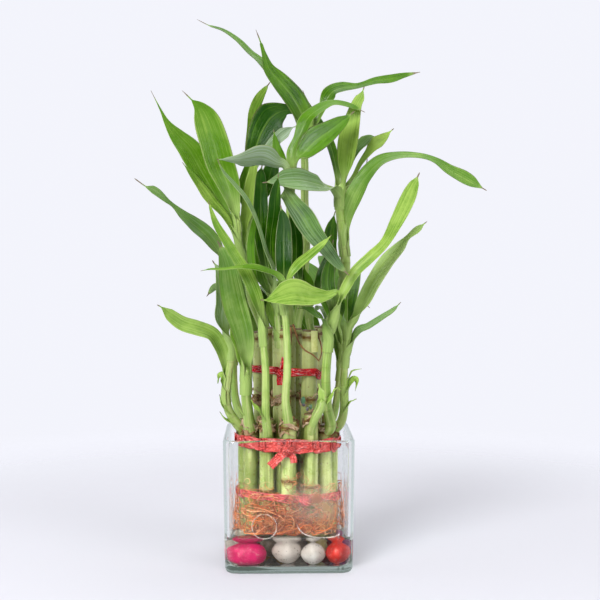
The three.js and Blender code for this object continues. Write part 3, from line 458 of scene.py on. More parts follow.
def growPiece(name, strands, group, settings, material, seed=0):  # a plain mesh from strands and a node tree
    settings = settings | {"Material": material, "Seed": float(seed)}
    source = linkObject("strands", strandMesh(strands))
    modifier = source.modifiers.new("grow", "NODES")
    modifier.node_group = group
    for item in group.interface.items_tree:
        if item.name in settings:
            modifier[item.identifier] = settings[item.name]
    bpy.context.view_layer.update()
    graph = bpy.context.evaluated_depsgraph_get()
    grown = source.evaluated_get(graph)
    mesh = bpy.data.meshes.new_from_object(grown, preserve_all_data_layers=True, depsgraph=graph)
    bpy.data.objects.remove(source)
    shape = bmesh.new()
    shape.from_mesh(mesh)
    bmesh.ops.recalc_face_normals(shape, faces=shape.faces)
    shape.to_mesh(mesh)
    shape.free()
    mesh.name = name
    return linkObject(name, mesh)


def joinPieces(pieces, name):
    target = pieces[0]
    with bpy.context.temp_override(active_object=target, selected_editable_objects=pieces):
        bpy.ops.object.join()
    target.name = name
    target.data.name = name
    return target


def keepInside(piece):  # no tip reaches past the box of the solid part
    for vertex in piece.data.vertices:
        for axis in range(3):
            vertex.co[axis] = max(cadBox[0][axis], min(cadBox[1][axis], vertex.co[axis]))


def settle(piece, slot, *nodes):  # rides the only body and stands for its CAD nodes
    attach(piece, "root")
    if nodes:
        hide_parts(*nodes)


def tubeRows(line, girth, scar, seed):  # girth in mm, from the share of the line's length and the spot
    along = lengthsAlong(line)
    return [{
        "spot": spot, "girth": girth(along[i] / along[-1], spot) * mm, "along": along[i] * mm, "scar": scar,
        "seed": seed,
    } for i, spot in enumerate(line)]


# Shared effects of the skins

def makeFibreGroup():  # fine lines that run along a leaf, a cane or a stem
    given = startGroup("fibreLines", "ShaderNodeTree", {
        "Across": 0.0, "Along": 0.0, "Seed": 0.0, "Count": 12.0, "Stretch": 20.0,
    })
    place = combined(given["Across"] * given["Count"], given["Along"] * given["Stretch"], given["Seed"])
    return endGroup(ramp(grain(place, 1.0), 0.3, 0.7))


def makeMottleGroup():  # soft blotches, darker or lighter
    given = startGroup("mottle", "ShaderNodeTree", {"Vector": None, "Scale": 100.0, "Low": 0.4, "High": 0.6})
    cloud = addNode("ShaderNodeTexNoise", {
        "Vector": given["Vector"], "Scale": given["Scale"], "Detail": 4.0, "Roughness": 0.6,
    }, "Fac")
    return endGroup(ramp(cloud, given["Low"], given["High"]))


def makeSpeckGroup():  # small round specks, spread unevenly
    given = startGroup("specks", "ShaderNodeTree", {
        "Vector": None, "Scale": 400.0, "Size": 0.2, "Amount": 0.5,
    })
    cells = addNode("ShaderNodeTexVoronoi", {"Vector": given["Vector"], "Scale": given["Scale"]}, "Distance")
    pick = addNode("ShaderNodeSeparateColor", {0: cells.twin("Color")})
    return endGroup(calc("LESS_THAN", cells, given["Size"]) * calc("LESS_THAN", pick, given["Amount"]))


fibreGroup = makeFibreGroup()
mottleGroup = makeMottleGroup()
speckGroup = makeSpeckGroup()


def fibreLines(across, count, stretch, shift=0.0):
    return addNode("ShaderNodeGroup", {
        "Across": across, "Along": field("along"), "Seed": field("seed") + shift, "Count": count,
        "Stretch": stretch,
    }, node_tree=fibreGroup)


def mottle(scale, low, high):
    sockets = {"Vector": objectSpot(), "Scale": scale, "Low": low, "High": high}
    return addNode("ShaderNodeGroup", sockets, node_tree=mottleGroup)


def specks(scale, size, amount):
    sockets = {"Vector": objectSpot(), "Scale": scale, "Size": size, "Amount": amount}
    return addNode("ShaderNodeGroup", sockets, node_tree=speckGroup)


def seedNoise(scale):  # one value for each strand
    return addNode("ShaderNodeTexNoise", {"W": field("seed"), "Scale": scale}, "Fac", noise_dimensions="1D")


def sectionParts():  # -1 to 1 across a strand and through it
    return parts(field("section", "Vector"))[:2]


def subsurface(weight, radius, scale):
    return {"Subsurface Weight": weight, "Subsurface Radius": radius, "Subsurface Scale": scale}


def plainMaterial(name, blotches, first, second, roughness):
    material = startMaterial(name)
    base = mixColour(mottle(*blotches), first, second)
    return endMaterial(material, {"Base Color": base, "Roughness": roughness})


# Skins of the plant

leafLook = {
    "dark": rgb(30, 72, 4),
    "middle": rgb(94, 143, 30),
    "light": rgb(170, 204, 92),
    "under": rgb(152, 180, 128),
    # pale silver: partly the leaves' own bloom and partly painted sheen
    "silver": rgb(186, 204, 180),
    "base": rgb(184, 212, 124),
    "rib": rgb(150, 186, 90),
    "paleMargin": rgb(206, 214, 150),
    "brownMargin": rgb(120, 92, 80),
    "dryTip": rgb(118, 104, 84),
    "glow": rgb(150, 200, 40),
}


def makeLeafMaterial(look):
    material = startMaterial("leafSkin")
    across, above = sectionParts()
    share, dry, half = field("share"), field("dry"), field("half")
    fibres = fibreLines(across, 9.0, 18.0)
    veins = fibreLines(across * ramp(half, 0.0, 0.008), 34.0, 12.0)
    blotch = mottle(55.0, 0.35, 0.65)
    shade = field("tone") + (fibres - 0.5) * 0.22 + (veins - 0.5) * 0.2 + (blotch - 0.5) * 0.22
    base = mixColour(ramp(shade, 0.0, 0.5), look["dark"], look["middle"])
    base = mixColour(ramp(shade, 0.5, 1.0), base, look["light"])
    off = calc("ABSOLUTE", across)
    base = mixColour(ramp(off, 0.1, 0.02) * ramp(share, 0.9, 0.2, 0.1, 0.55), base, look["rib"])
    sheath = ramp(field("along"), 0.02, 0.004)
    under = ramp(above, -0.1, -0.3) * (1.0 - sheath)
    base = mixColour(under * 0.55, base, look["under"])
    # painted sheen: pale silver streaks along the leaves that are given it, partly their own bloom and partly
    # a painted highlight
    streaks = ramp(fibres, 0.3, 0.7, 0.45, 1.1) * ramp(veins, 0.0, 1.0, 0.7, 1.0)
    base = mixColour(field("silver") * streaks, base, look["silver"])
    pale = (ramp(share, 0.4, 0.02) * 0.45 + sheath * 0.5) * ramp(fibres, 0.0, 1.0, 0.75, 1.0)
    base = mixColour(pale, base, look["base"])
    marginTint = mixColour(ramp(seedNoise(3.0), 0.5, 0.58), look["paleMargin"], look["brownMargin"])
    base = mixColour(ramp(off, 0.9, 0.985) * 0.45, base, marginTint)
    base = mixColour(ramp(dry, 0.05, 0.45, 0.0, 0.35), base, look["base"])
    dryMask = ramp(dry + (fibres - 0.5) * 0.3, 0.45, 0.7) * ramp(dry, 0.0, 0.1)
    base = mixColour(dryMask, base, look["dryTip"])
    rough = ramp(blotch, 0.0, 1.0, 0.17, 0.28) + under * 0.2 + ramp(share, 0.5, 0.9, 0.0, 0.3)
    bump = bumps((veins * 0.6 + fibres) * ramp(half, 0.001, 0.005), 0.35, 0.00025)
    through = addNode("ShaderNodeBsdfTranslucent", {0: mixColour(0.65, base, look["glow"]), 1: bump})
    return endMaterial(material, {
        "Base Color": base, "Roughness": rough, "Specular IOR Level": 0.24, "Normal": bump,
    }, Surface=mixShader((1.0 - dryMask) * 0.22, baseShader(), through))


stemLook = {
    "pale": rgb(170, 196, 104),
    "green": rgb(130, 168, 60),
    "scar": rgb(120, 112, 58),
    # pale streaks; the same colour also serves as a painted highlight down one side of a stem
    "streakAndSheen": rgb(202, 214, 146),
    # painted shade down the other side of a stem
    "deep": rgb(104, 146, 52),
}


def makeStemMaterial(look):
    material = startMaterial("stemSkin")
    across, above = sectionParts()
    lines = fibreLines(across + above * 1.7, 7.0, 30.0)
    # broad bands down each stem: painted highlight on one side and painted shade on the other
    edges = fibreLines(across, 2.2, 9.0)
    base = mixColour(mottle(90.0, 0.35, 0.7), look["pale"], look["green"])
    base = mixColour(lines * 0.35, base, look["streakAndSheen"])
    base = mixColour(ramp(edges, 0.55, 0.9, 0.0, 0.55), base, look["streakAndSheen"])
    base = mixColour(ramp(edges, 0.4, 0.05, 0.0, 0.5), base, look["deep"])
    ring = ramp(field("scar"), 0.0007, 0.0002) * ramp(lines, 0.2, 0.8, 0.05, 0.35)
    base = mixColour(ring, base, look["scar"])
    return endMaterial(material, {
        "Base Color": base, "Roughness": 0.38, "Normal": bumps(lines, 0.3, 0.0002),
    } | subsurface(0.15, (0.6, 1.0, 0.3), 0.0012))


caneLook = {
    "pale": rgb(180, 190, 114),
    "green": rgb(136, 158, 72),
    # the dark olive and the lit colour: painted shade and painted highlight down the sides of a cane, partly
    # its own uneven tone
    "oliveShade": rgb(104, 118, 44),
    "lit": rgb(208, 214, 148),
    "ring": rgb(112, 82, 40),
    "ringShade": rgb(146, 132, 72),
    "bloom": rgb(214, 220, 172),
    "fleck": rgb(134, 112, 66),
    "wax": rgb(70, 52, 34),
    "waxPale": rgb(150, 128, 84),
}


def makeCaneMaterial(look):
    material = startMaterial("caneSkin")
    across, above = sectionParts()
    lines = fibreLines(across + above * 1.7, 9.0, 40.0)
    # broad bands down each cane: partly its own uneven tone, partly painted shade and painted highlight
    flanks = fibreLines(across - above * 0.8, 1.1, 14.0, 7.0)
    uneven = grain(objectSpot(), 260.0, 3.0)
    base = mixColour(mottle(70.0, 0.35, 0.7), look["pale"], look["green"])
    base = mixColour(lines * 0.22, base, look["bloom"])
    base = mixColour(ramp(flanks, 0.52, 0.2, 0.0, 0.6), base, look["oliveShade"])
    base = mixColour(ramp(flanks, 0.58, 0.8, 0.0, 0.5), base, look["lit"])
    # painted light: every cane is mixed towards the lit colour from about 88 to 102 mm up, over the tops of
    # the outer canes
    base = mixColour(ramp(field("along"), 0.066, 0.08, 0.0, 0.45), base, look["lit"])
    base = mixColour(specks(420.0, 0.22, 0.22) * 0.6, base, look["fleck"])
    ragged = field("scar") + (uneven - 0.5) * 0.0022
    base = mixColour(ramp(ragged, 0.0034, 0.0012, 0.0, 0.75), base, look["ringShade"])
    base = mixColour(ramp(ragged, 0.0012, 0.0004, 0.0, 0.95), base, look["ring"])
    wax = ramp(field("cut") + (uneven - 0.5) * 0.5, 0.25, 0.5)
    base = mixColour(wax, base, mixColour(uneven, look["wax"], look["waxPale"]))
    return endMaterial(material, {
        "Base Color": base, "Roughness": ramp(uneven, 0.3, 0.7, 0.24, 0.42),
        "Normal": bumps(lines * 0.5 + uneven, 0.35, 0.0003),
    } | subsurface(0.12, (0.8, 1.0, 0.3), 0.0015))


leafMaterial = makeLeafMaterial(leafLook)
stemMaterial = makeStemMaterial(stemLook)
caneMaterial = makeCaneMaterial(caneLook)
print("plant materials ready")


# The canes: an outer ring, an inner ring and one in the middle, each leaning a little. Millimetres here.

class NumberSource:  # repeatable numbers from 0 to 1
    def __init__(self, seed):
        self.state = seed

    def next(self):
        self.state = (self.state * 16807) % 2147483647
        return self.state / 2147483647


canePlan = {
    "foot": 22.0,
    "outer": {"ring": 26.5, "radius": 4.7, "splay": 0.0, "turn": -90, "step": 30, "label": "outer_{:02d}",
              "tops": [86, 88, 92.5, 92, 95.5, 87, 85, 89, 87, 88, 91, 86]},
    "inner": {"ring": 16.2, "radius": 5.0, "splay": 2.2, "turn": -75, "step": 60, "label": "inner_{}",
              "tops": [144.5, 147, 146, 147, 145, 146]},
    "middleTop": 148.0,
    "sway": 1.2,
    "thinner": 0.25,
    "topNode": 4.5,
    "lowestNode": 6.0,
    "nodeSpacing": 38.0,
    "frontSpacing": 30.0,  # of the cane in front
    "uneven": 3.0,
    "swelling": 0.5,
    "swellingReach": 2.4,
    "groove": 0.22,
    "rows": 40,
    "rowsAtNode": (0, 0.35, 0.6, 1.0, 1.6, 2.4),
    "cutTop": (0.6, 0.25, 0.02),  # shares of the radius, one above the other
    "tube": {"Sides": 28, "Bump": 0.0003, "Bump Size": 160.0},
    "seed": 417,
}


def listCanes(plan):
    source = NumberSource(plan["seed"])
    canes = {}

    def addCane(name, tier, angle, ring, splay, top):
        out = outwards(math.radians(angle))
        foot = out * ring + Vector((0, 0, plan["foot"]))
        head = out * (ring + splay) + Vector((0, 0, top))
        head.x += (source.next() - 0.5) * plan["sway"]
        head.y += (source.next() - 0.5) * plan["sway"]
        radius = tier["radius"] - plan["thinner"] * source.next()
        spacing = plan["frontSpacing"] if name == "outer_04" else plan["nodeSpacing"]
        spacing += plan["uneven"] * source.next()
        node = top - plan["foot"] - plan["topNode"]
        nodes = []
        while node > plan["lowestNode"]:
            nodes.insert(0, node)
            node -= spacing
        canes[name] = {
            "angle": angle, "out": out, "foot": foot, "head": head, "radius": radius, "nodes": nodes,
        }

    for tier in (plan["outer"], plan["inner"]):
        for i, top in enumerate(tier["tops"]):
            angle = tier["turn"] + tier["step"] * i
            addCane(tier["label"].format(i + 1), tier, angle, tier["ring"], tier["splay"], top)
    addCane("inner_7", plan["inner"], 0, 0, 0, plan["middleTop"])
    return canes


def caneAt(cane, z):
    return cane["foot"].lerp(cane["head"], (z - cane["foot"].z) / (cane["head"].z - cane["foot"].z))


def fallOff(distance, reach):
    return max(0.0, 1 - distance / reach)


def growCane(name, cane, seed, plan):
    length = cane["head"].z - cane["foot"].z
    radius = cane["radius"]
    heights = {0.0, 0.25, length - 0.25, length - 0.6, length - 1.2, length}
    heights.update(i * length / plan["rows"] for i in range(1, plan["rows"]))
    for node in cane["nodes"]:
        heights.update(node + side * step for step in plan["rowsAtNode"] for side in (-1, 1))
    rows = []

    def addRow(spot, girth, z, near, cut):
        rows.append({
            "spot": spot, "girth": girth * mm, "along": z * mm, "scar": near, "seed": float(seed), "cut": cut,
        })

    for z in sorted(height for height in heights if 0 <= height <= length):
        near = min(abs(z - node) for node in cane["nodes"])
        ridge = plan["swelling"] * fallOff(near, plan["swellingReach"]) ** 1.5
        foot = -0.3 * fallOff(z, 0.25)
        rim = -0.7 * fallOff(length - z, 1.2) ** 2
        girth = radius + ridge - plan["groove"] * fallOff(near, 0.5) + foot + rim
        spot = cane["foot"].lerp(cane["head"], z / length)
        addRow(spot, girth, z, near * mm, smoothStep(1 - (length - z) / 2.2) * 0.7)
    for step, part in enumerate(plan["cutTop"]):
        addRow(cane["head"] + Vector((0, 0, 0.01 * (step + 1))), radius * part, length, 0.01, 1.0)
    piece = growPiece(f"cane_{name}_look", [rows], tubeTree, plan["tube"], caneMaterial, seed)
    settle(piece, "cane", f"cane_{name}")


canes = listCanes(canePlan)
for number, (name, cane) in enumerate(canes.items()):
    growCane(name, cane, number + 1, canePlan)
print("canes ready")


# The shoots: the line of each stem from its foot up, and its leaves. A leaf leaves its stem at a share of
# the stem's length and passes through points, each with the leaf's width there; its upper face looks along
# "face", and along "tipFace" at its tip. Shoots at the back have leaves that are drawn by rule.

def leaf(start, face, tone, *through, **more):  # more: silver, a sheen that is partly the leaf's own bloom and partly painted highlight; tipFace; tail for its dry end
    return {"start": start, "face": face, "tone": tone, "through": through} | more


shoots = {
    "outer_01": {
        "radius": 3, "stem": [(-32, -2, 86), (-37, -4, 94), (-39, -6, 103), (-38, -7, 114), (-36, -8, 126),
            (-36, -8, 136)],
        "leaves": [
            leaf(0.65, (0.2, -1, 0.8), 0.85, (-39, -10, 125, 6.5), (-42, -12, 135, 9),
                (-47, -14, 143, 10.5), (-56, -16, 147, 11.5), (-65, -18, 150, 11), (-72, -20, 155, 9),
                (-77, -22, 160, 5), (-80, -23, 162, 0), silver=0.1),
            leaf(0.98, (0.7, -1, 0.1), 0.7, (-39, -9, 143, 9), (-41, -10, 153, 12.5), (-40, -10, 162, 12.5),
                (-40, -11, 172, 12.5), (-42, -12, 181, 8.5), (-47, -13, 189, 0), silver=0.6),
            leaf(0.52, (0.4, -0.6, 1), 0.9, (-40, -8, 116, 8.5), (-43, -8, 117, 5.5), (-44, -8, 112, 0)),
            leaf(0.18, (1, -0.8, 0.6), 0.9, (-41, -6, 98, 9), (-43, -6, 105, 0)),
            leaf(0.09, (1, -0.8, 0.6), 0.9, (-39, -5, 89, 8.5), (-43, -5, 94, 0)),
        ],
    },
    "outer_02": {
        "radius": 3.6, "stem": [(-24, -16, 87), (-25, -19, 96), (-26, -21, 106), (-26, -22, 117),
            (-26, -23, 124)],
        "leaves": [
            leaf(0.99, (0.3, -1, 0.1), 0.64, (-26, -24, 133, 9.5), (-28, -26, 146, 13.5),
                (-32, -28, 160, 15.5), (-35, -30, 174, 15), (-37, -30, 186, 11.5), (-40, -30, 195, 5.5),
                (-43, -30, 201, 0), silver=0.15),
            leaf(0.79, (0.6, -1, 0), 0.7, (-30, -25, 128, 4), (-31, -26, 137, 5), (-34, -26, 144, 4),
                (-35, -26, 150, 0)),
            leaf(0.17, (1, -0.8, 0.4), 0.9, (-29, -20, 96, 5.5), (-31, -20, 100, 0)),
        ],
    },
    "outer_03": {
        "stem": [(-13, -28, 85), (-14, -31, 95), (-14, -33, 107), (-14, -33, 122), (-15, -33, 135),
            (-16, -33, 146)],
        "leaves": [
            leaf(0.99, (0.5, -1, 0), 0.7, (-17, -33, 156, 6.5), (-20, -34, 168, 8.5), (-25, -35, 180, 8.5),
                (-31, -37, 190, 7), (-37, -38, 200, 6), (-43, -38, 210, 4.5), (-46, -38, 218, 2.5),
                (-48, -37, 225, 0)),
            leaf(0.99, (0.3, -1, 0), 0.3, (-19, -30, 165, 4), (-22, -30, 183, 5), (-23, -29, 198, 5),
                (-21, -28, 212, 3), (-20, -28, 218, 0)),
            leaf(0.15, (1, -1, 0), 0.9, (-17, -34, 97, 5), (-21, -34, 102, 4.5), (-23, -34, 106, 0)),
        ],
    },
    "outer_04": {
        "stem": [(-1, -32, 96), (-2, -35, 106), (-1, -37, 122), (-1, -36, 138), (-2, -35, 153),
            (-4, -34, 165)],
        "leaves": [
            leaf(0.99, (-0.6, -1, 0), 0.75, (0, -37, 178, 4), (5, -38, 186, 6), (12, -41, 192, 5.5),
                (19, -44, 198, 4), (25, -45, 204, 0)),
            leaf(0.99, (0, -0.45, 1), 0.6, (-5, -37, 176, 7), (-8, -39, 180, 9.5), (-14, -42, 183, 9.5),
                (-21, -44, 185, 8.5), (-30, -46, 185, 4.5), (-39, -47, 184, 3.5), (-46, -48, 184, 2.5),
                (-52, -48, 183, 0)),
            leaf(0.99, (0, -1, 0.1), 0, (-3, -33, 176, 7), (-3, -33, 188, 10), (-3, -31, 201, 10),
                (-3, -29, 212, 7.5), (-5, -27, 223, 0)),
        ],
    },
    "outer_05": {
        "stem": [(14, -28, 87), (16, -32, 94), (19, -33, 100), (20, -32, 105)],
        "leaves": [
            leaf(0.89, (0.2, -1, 0), 0.9, (20, -32, 107, 4.5), (19, -31, 111, 3.5), (18, -30, 115, 0)),
            leaf(0.64, (-0.5, -1, 0), 0.9, (23, -31, 103, 3), (26, -30, 107, 2.5), (28, -29, 112, 0)),
        ],
    },
    "outer_06": {
        "radius": 3.2, "stem": [(26, -18, 87), (24, -20, 97), (23, -21, 109), (23, -22, 122),
            (24, -22, 134), (25, -23, 144), (28, -24, 154)],
        "leaves": [
            leaf(0.99, (-0.4, -1, 0.2), 0.8, (32, -25, 166, 6), (40, -25, 181, 7), (50, -25, 191, 7),
                (59, -24, 200, 6.5), (67, -21, 214, 9), (73, -18, 226, 10), (77, -16, 235, 7),
                (81, -14, 243, 0)),
            leaf(0.99, (0, -1, 0.5), 0.8, (30, -28, 169, 2.5), (23, -33, 168, 6.5), (14, -38, 168, 13),
                (4, -43, 170, 18), (-5, -47, 168, 14), (-12, -49, 166, 7.5), (-17, -50, 166, 0)),
            leaf(0.82, (0, -0.6, 1), 0.4, (21, -27, 153, 13.5), (16, -31, 157, 12), (10, -33, 160, 6),
                (5, -34, 160, 0)),
            leaf(0.25, (-0.4, -0.6, 1), 0.9, (27, -24, 108, 5), (30, -24, 111, 5), (32, -24, 109, 0)),
            leaf(0.98, (0.2, -1, 0), 0.15, (27, -22, 161, 6.5), (24, -20, 174, 9), (25, -18, 185, 6.5),
                (27, -17, 194, 0)),
        ],
    },
    "outer_07": {
        "stem": [(33, -2, 86), (35, -4, 95), (35, -5, 106), (35, -6, 117), (36, -7, 130), (37, -8, 142),
            (38, -8, 148)],
        "leaves": [
            leaf(0.99, (-0.4, -1, 0.3), 0.85, (43, -9, 155, 8), (48, -9, 165, 9.5), (53, -10, 175, 10),
                (61, -11, 188, 10), (69, -12, 197, 7.5), (74, -12, 203, 3.5), (80, -12, 208, 4.5),
                (86, -12, 213, 0), silver=0.25),
            leaf(0.74, (0, -0.6, 1), 0.6, (43, -10, 144, 8), (50, -11, 148, 6.5), (59, -12, 154, 5.5),
                (65, -12, 158, 4), (70, -12, 163, 0), silver=0.4),
            leaf(0.89, (-1, -1, 0), 0.4, (34, -11, 153, 6), (33, -12, 164, 6.5), (34, -13, 175, 0)),
            leaf(0.3, (-0.3, -0.6, 1), 0.9, (38, -7, 110, 7), (41, -7, 115, 6), (43, -7, 113, 2.5),
                (42, -7, 107, 0)),
            leaf(0.15, (-1, -0.8, 0.5), 0.9, (38, -6, 99, 7), (41, -6, 101, 4.5), (43, -6, 102, 0)),
            leaf(0.44, (-0.3, -0.6, 1), 0.9, (39, -7, 118, 3), (41, -7, 120, 3), (46, -7, 121, 0)),
        ],
    },
    "inner_4": {
        "radius": 3.5, "stem": [(22, 6, 142), (29, 8, 153), (35, 11, 170), (37, 12, 186), (35, 12, 205),
            (33, 11, 223), (33, 10, 232)],
        "leaves": [
            leaf(0.99, (-0.4, -1, 0), 0.85, (36, 9, 241, 6), (37, 7, 252, 11), (38, 5, 263, 13.5),
                (40, 4, 274, 11.5), (43, 3, 286, 7.5), (46, 2, 292, 5.5), (48, 2, 298, 0)),
            leaf(0.97, (0, -1, 0.8), 0.45, (29, 5, 234, 9.5), (21, -3, 236, 14.5), (10, -12, 238, 19.5),
                (1, -17, 238, 17.5), (-8, -21, 237, 11), (-16, -24, 236, 0), silver=0.4),
            leaf(0.99, (0.5, -0.9, 0.4), 0.25, (32, 13, 241, 4.5), (30, 16, 253, 6.5), (27, 20, 264, 7.5),
                (20, 25, 278, 7), (13, 27, 290, 3.5), (10, 28, 299, 0)),
            leaf(0.67, (0, -0.75, 1), 0.55, (37, 10, 213, 7), (41, 7, 226, 13), (48, 4, 240, 13.5),
                (57, 0, 250, 13), (68, -4, 254, 8.5), (81, -7, 254, 5.5), (91, -9, 251, 5.5),
                (100, -10, 245, 9), (109, -11, 240, 11), (116, -12, 236, 7.5), (123, -12, 232, 0),
                silver=0.1, tipFace=(-0.2, -1, 0.9)),
            leaf(0.74, (-1, -0.8, 0), 0.45, (42, 14, 224, 4.5), (47, 14, 237, 7.5), (50, 14, 246, 6.5),
                (51, 15, 254, 0)),
            leaf(0.99, (-0.5, -0.9, 0.5), 0.95, (42, 17, 242, 3), (47, 19, 251, 4), (53, 21, 259, 6.5),
                (57, 22, 264, 11), (62, 23, 268, 7.5), (69, 24, 274, 0)),
            leaf(0.99, (-0.3, -0.9, 0.8), 0.45, (39, 21, 248, 4), (44, 22, 259, 6), (49, 24, 265, 8.5),
                (54, 26, 269, 7), (59, 28, 268, 0), silver=0.2),
            leaf(0.47, (0.6, -1, 0), 0.15, (29, 9, 194, 6), (27, 7, 204, 10), (28, 6, 212, 7),
                (30, 5, 220, 0)),
        ],
    },
    "inner_5": {
        "radius": 3, "stem": [(6, 21, 149), (9, 22, 163), (11, 21, 182), (12, 20, 205), (11, 19, 227),
            (11, 17, 250), (10, 16, 263)],
        "leaves": [
            leaf(0.99, (0.4, -1, 0.3), 0.32, (12, 14, 274, 8.5), (9, 12, 282, 14), (3, 9, 292, 15.5),
                (-5, 6, 301, 13.5), (-12, 4, 309, 8.5), (-15, 3, 318, 3.5), (-17, 3, 325, 2),
                (-20, 3, 333, 0), tail=8.5),
            leaf(0.99, (0.3, -0.7, 1), 0.4, (7, 20, 279, 7), (0, 21, 291, 9), (-7, 22, 303, 9),
                (-17, 22, 316, 8.5), (-24, 22, 322, 7), (-32, 22, 330, 6), (-41, 22, 336, 4.5),
                (-50, 22, 339, 2.5), (-58, 22, 343, 0), silver=0.1, tail=8.5),
            leaf(0.99, (0, -0.75, 1), 0.3, (18, 18, 277, 4.5), (23, 18, 287, 6.5), (28, 18, 296, 13),
                (35, 17, 299, 12), (45, 16, 300, 6), (56, 14, 303, 7), (66, 12, 304, 7.5),
                (74, 10, 306, 4.5), (84, 9, 308, 0), tipFace=(0, -1, 0.6)),
        ],
    },
    "inner_7": {
        "stem": [(2, 5, 143), (1, 3, 154), (1, 1, 170), (1, 0, 195), (1, -2, 219), (2, -4, 240)],
        "leaves": [
            leaf(0.99, (0, 0.8, 1), 0.6, (-2, -9, 247, 6), (-8, -12, 249, 11), (-16, -16, 252, 20.5),
                (-25, -20, 251, 16.5), (-32, -23, 250, 7.5), (-43, -24, 250, 0), silver=1),
            leaf(0.99, (0, -0.6, 1), 0.45, (2, -3, 255, 6), (7, -3, 266, 7.5), (12, -3, 277, 11.5),
                (21, -3, 284, 11.5), (29, -3, 287, 8.5), (39, -3, 285, 7), (48, -4, 281, 0)),
            leaf(0.99, (-0.3, -1, 0.4), 0.4, (6, -7, 252, 5.5), (10, -7, 256, 13), (17, -8, 263, 18),
                (26, -9, 269, 14.5), (34, -10, 275, 8.5), (41, -10, 281, 0)),
            leaf(0.96, (0.3, -1, 0.6), 0.25, (-3, -12, 234, 5), (1, -19, 226, 10.5), (8, -25, 216, 15),
                (14, -30, 206, 14), (22, -34, 196, 10.5), (29, -37, 187, 6.5), (36, -38, 180, 0),
                silver=0.25),
            leaf(0.99, (0.5, -1, 0), 0.4, (-4, 1, 252, 6.5), (-7, 2, 259, 6.5), (-9, 3, 271, 0)),
        ],
    },
    "inner_6": {
        "stem": [(-14, 14, 144), (-19, 12, 163), (-24, 11, 189), (-25, 10, 218), (-25, 10, 240)],
        "leaves": [
            leaf(0.99, (0.2, -1, 0.3), 0.08, (-23, 10, 251, 9), (-20, 10, 261, 13.5), (-16, 11, 271, 18),
                (-10, 12, 280, 20), (-2, 13, 284, 17), (3, 13, 283, 8.5), (7, 14, 280, 0)),
            leaf(0.99, (0, -1, 0.6), 0.3, (-18, 6, 250, 3.5), (-13, 6, 258, 6), (-7, 7, 265, 8),
                (0, 8, 271, 7.5), (6, 9, 274, 0), silver=0.85),
            leaf(0.99, (0.5, -0.8, 0.5), 0.65, (-26, 15, 256, 3.5), (-24, 17, 272, 5), (-22, 18, 283, 7),
                (-18, 19, 293, 6), (-11, 19, 303, 0)),
            leaf(0.71, (0.4, -1, 0), 0.6, (-28, 7, 224, 5.5), (-28, 6, 236, 7.5), (-25, 4, 247, 6),
                (-23, 2, 257, 0)),
            leaf(0.72, (0.2, -1, 0), 0.05, (-19, 5, 224, 4.5), (-14, 5, 234, 8.5), (-11, 5, 244, 10.5),
                (-9, 6, 252, 6), (-9, 6, 258, 0)),
        ],
    },
    "inner_1": {
        "stem": [(-16, -7, 147), (-23, -8, 164), (-26, -9, 183), (-30, -9, 197), (-31, -9, 208),
            (-32, -9, 215)],
        "leaves": [
            leaf(0.99, (0.3, -1, 0.2), 0.55, (-34, -10, 224, 8.5), (-37, -11, 235, 14.5),
                (-42, -12, 248, 18.5), (-46, -13, 262, 19), (-50, -13, 274, 17), (-54, -13, 282, 10.5),
                (-59, -13, 287, 2.5), (-65, -12, 293, 0), tail=8.5),
            leaf(0.84, (0.3, -0.9, 0.5), 0.48, (-39, -8, 218, 6.5), (-46, -7, 231, 10),
                (-53, -6, 243, 15.5), (-61, -5, 257, 16.5), (-69, -4, 266, 11), (-75, -4, 274, 4.5),
                (-79, -4, 282, 1.5), (-85, -4, 294, 0), tail=8.5),
            leaf(0.74, (0.3, -0.6, 1), 0.7, (-38, -12, 214, 7), (-47, -13, 225, 10.5), (-53, -13, 233, 9.5),
                (-59, -14, 241, 6), (-65, -15, 249, 0)),
            leaf(0.63, (0.4, -1, 0), 0.98, (-28, -4, 207, 4.5), (-26, -3, 219, 8), (-24, -3, 233, 8),
                (-22, -3, 244, 6), (-21, -2, 256, 0)),
        ],
    },
    "outer_12": {
        "back": 2, "crown": 0.62, "aim": 62, "stem": [(-30, 17, 88), (-34, 19, 100), (-35, 19, 120),
            (-34, 18, 140), (-35, 17, 163), (-38, 16, 182)],
        "leaves": [
            leaf(0.99, (0.3, -0.9, 0.7), 0.45, (-44, 14, 194, 9), (-51, 11, 204, 12.5), (-59, 9, 211, 11.5),
                (-66, 7, 217, 7.5), (-72, 6, 223, 3.5), (-77, 4, 227, 4.5), (-83, 3, 232, 6.5),
                (-89, 1, 235, 6), (-96, 0, 240, 0), silver=0.25, tail=8.5),
        ],
    },
    "inner_2": {
        "stem": [(-6, -20, 138), (-7, -20, 152), (-8, -19, 165)],
        "leaves": [
            leaf(0.23, (0.3, -1, 0), 0.7, (-10, -23, 151, 4.5), (-12, -24, 160, 5), (-13, -24, 167, 0)),
            leaf(0.99, (0.2, -1, 0), 0.08, (-13, -19, 183, 6), (-16, -18, 201, 9.5), (-17, -17, 219, 9.5),
                (-17, -13, 232, 8), (-17, -8, 242, 5.5), (-16, -5, 249, 0)),
            leaf(0.99, (0.3, -1, 0), 0.12, (-10, -23, 184, 4.5), (-11, -24, 201, 6.5), (-9, -25, 217, 8),
                (-8, -26, 230, 6.5), (-6, -26, 241, 0)),
            leaf(0.99, (1, -0.5, 0.4), 0.6, (-9, -26, 182, 5), (-14, -28, 195, 5), (-19, -30, 212, 5),
                (-25, -32, 225, 6), (-33, -33, 235, 5), (-39, -33, 242, 3.5), (-43, -33, 250, 0),
                silver=0.5),
            leaf(0.93, (0.3, -1, 0.2), 0.35, (-13, -16, 172, 8), (-17, -14, 184, 11.5),
                (-20, -13, 198, 7.5), (-19, -12, 209, 0)),
        ],
    },
    "inner_3": {
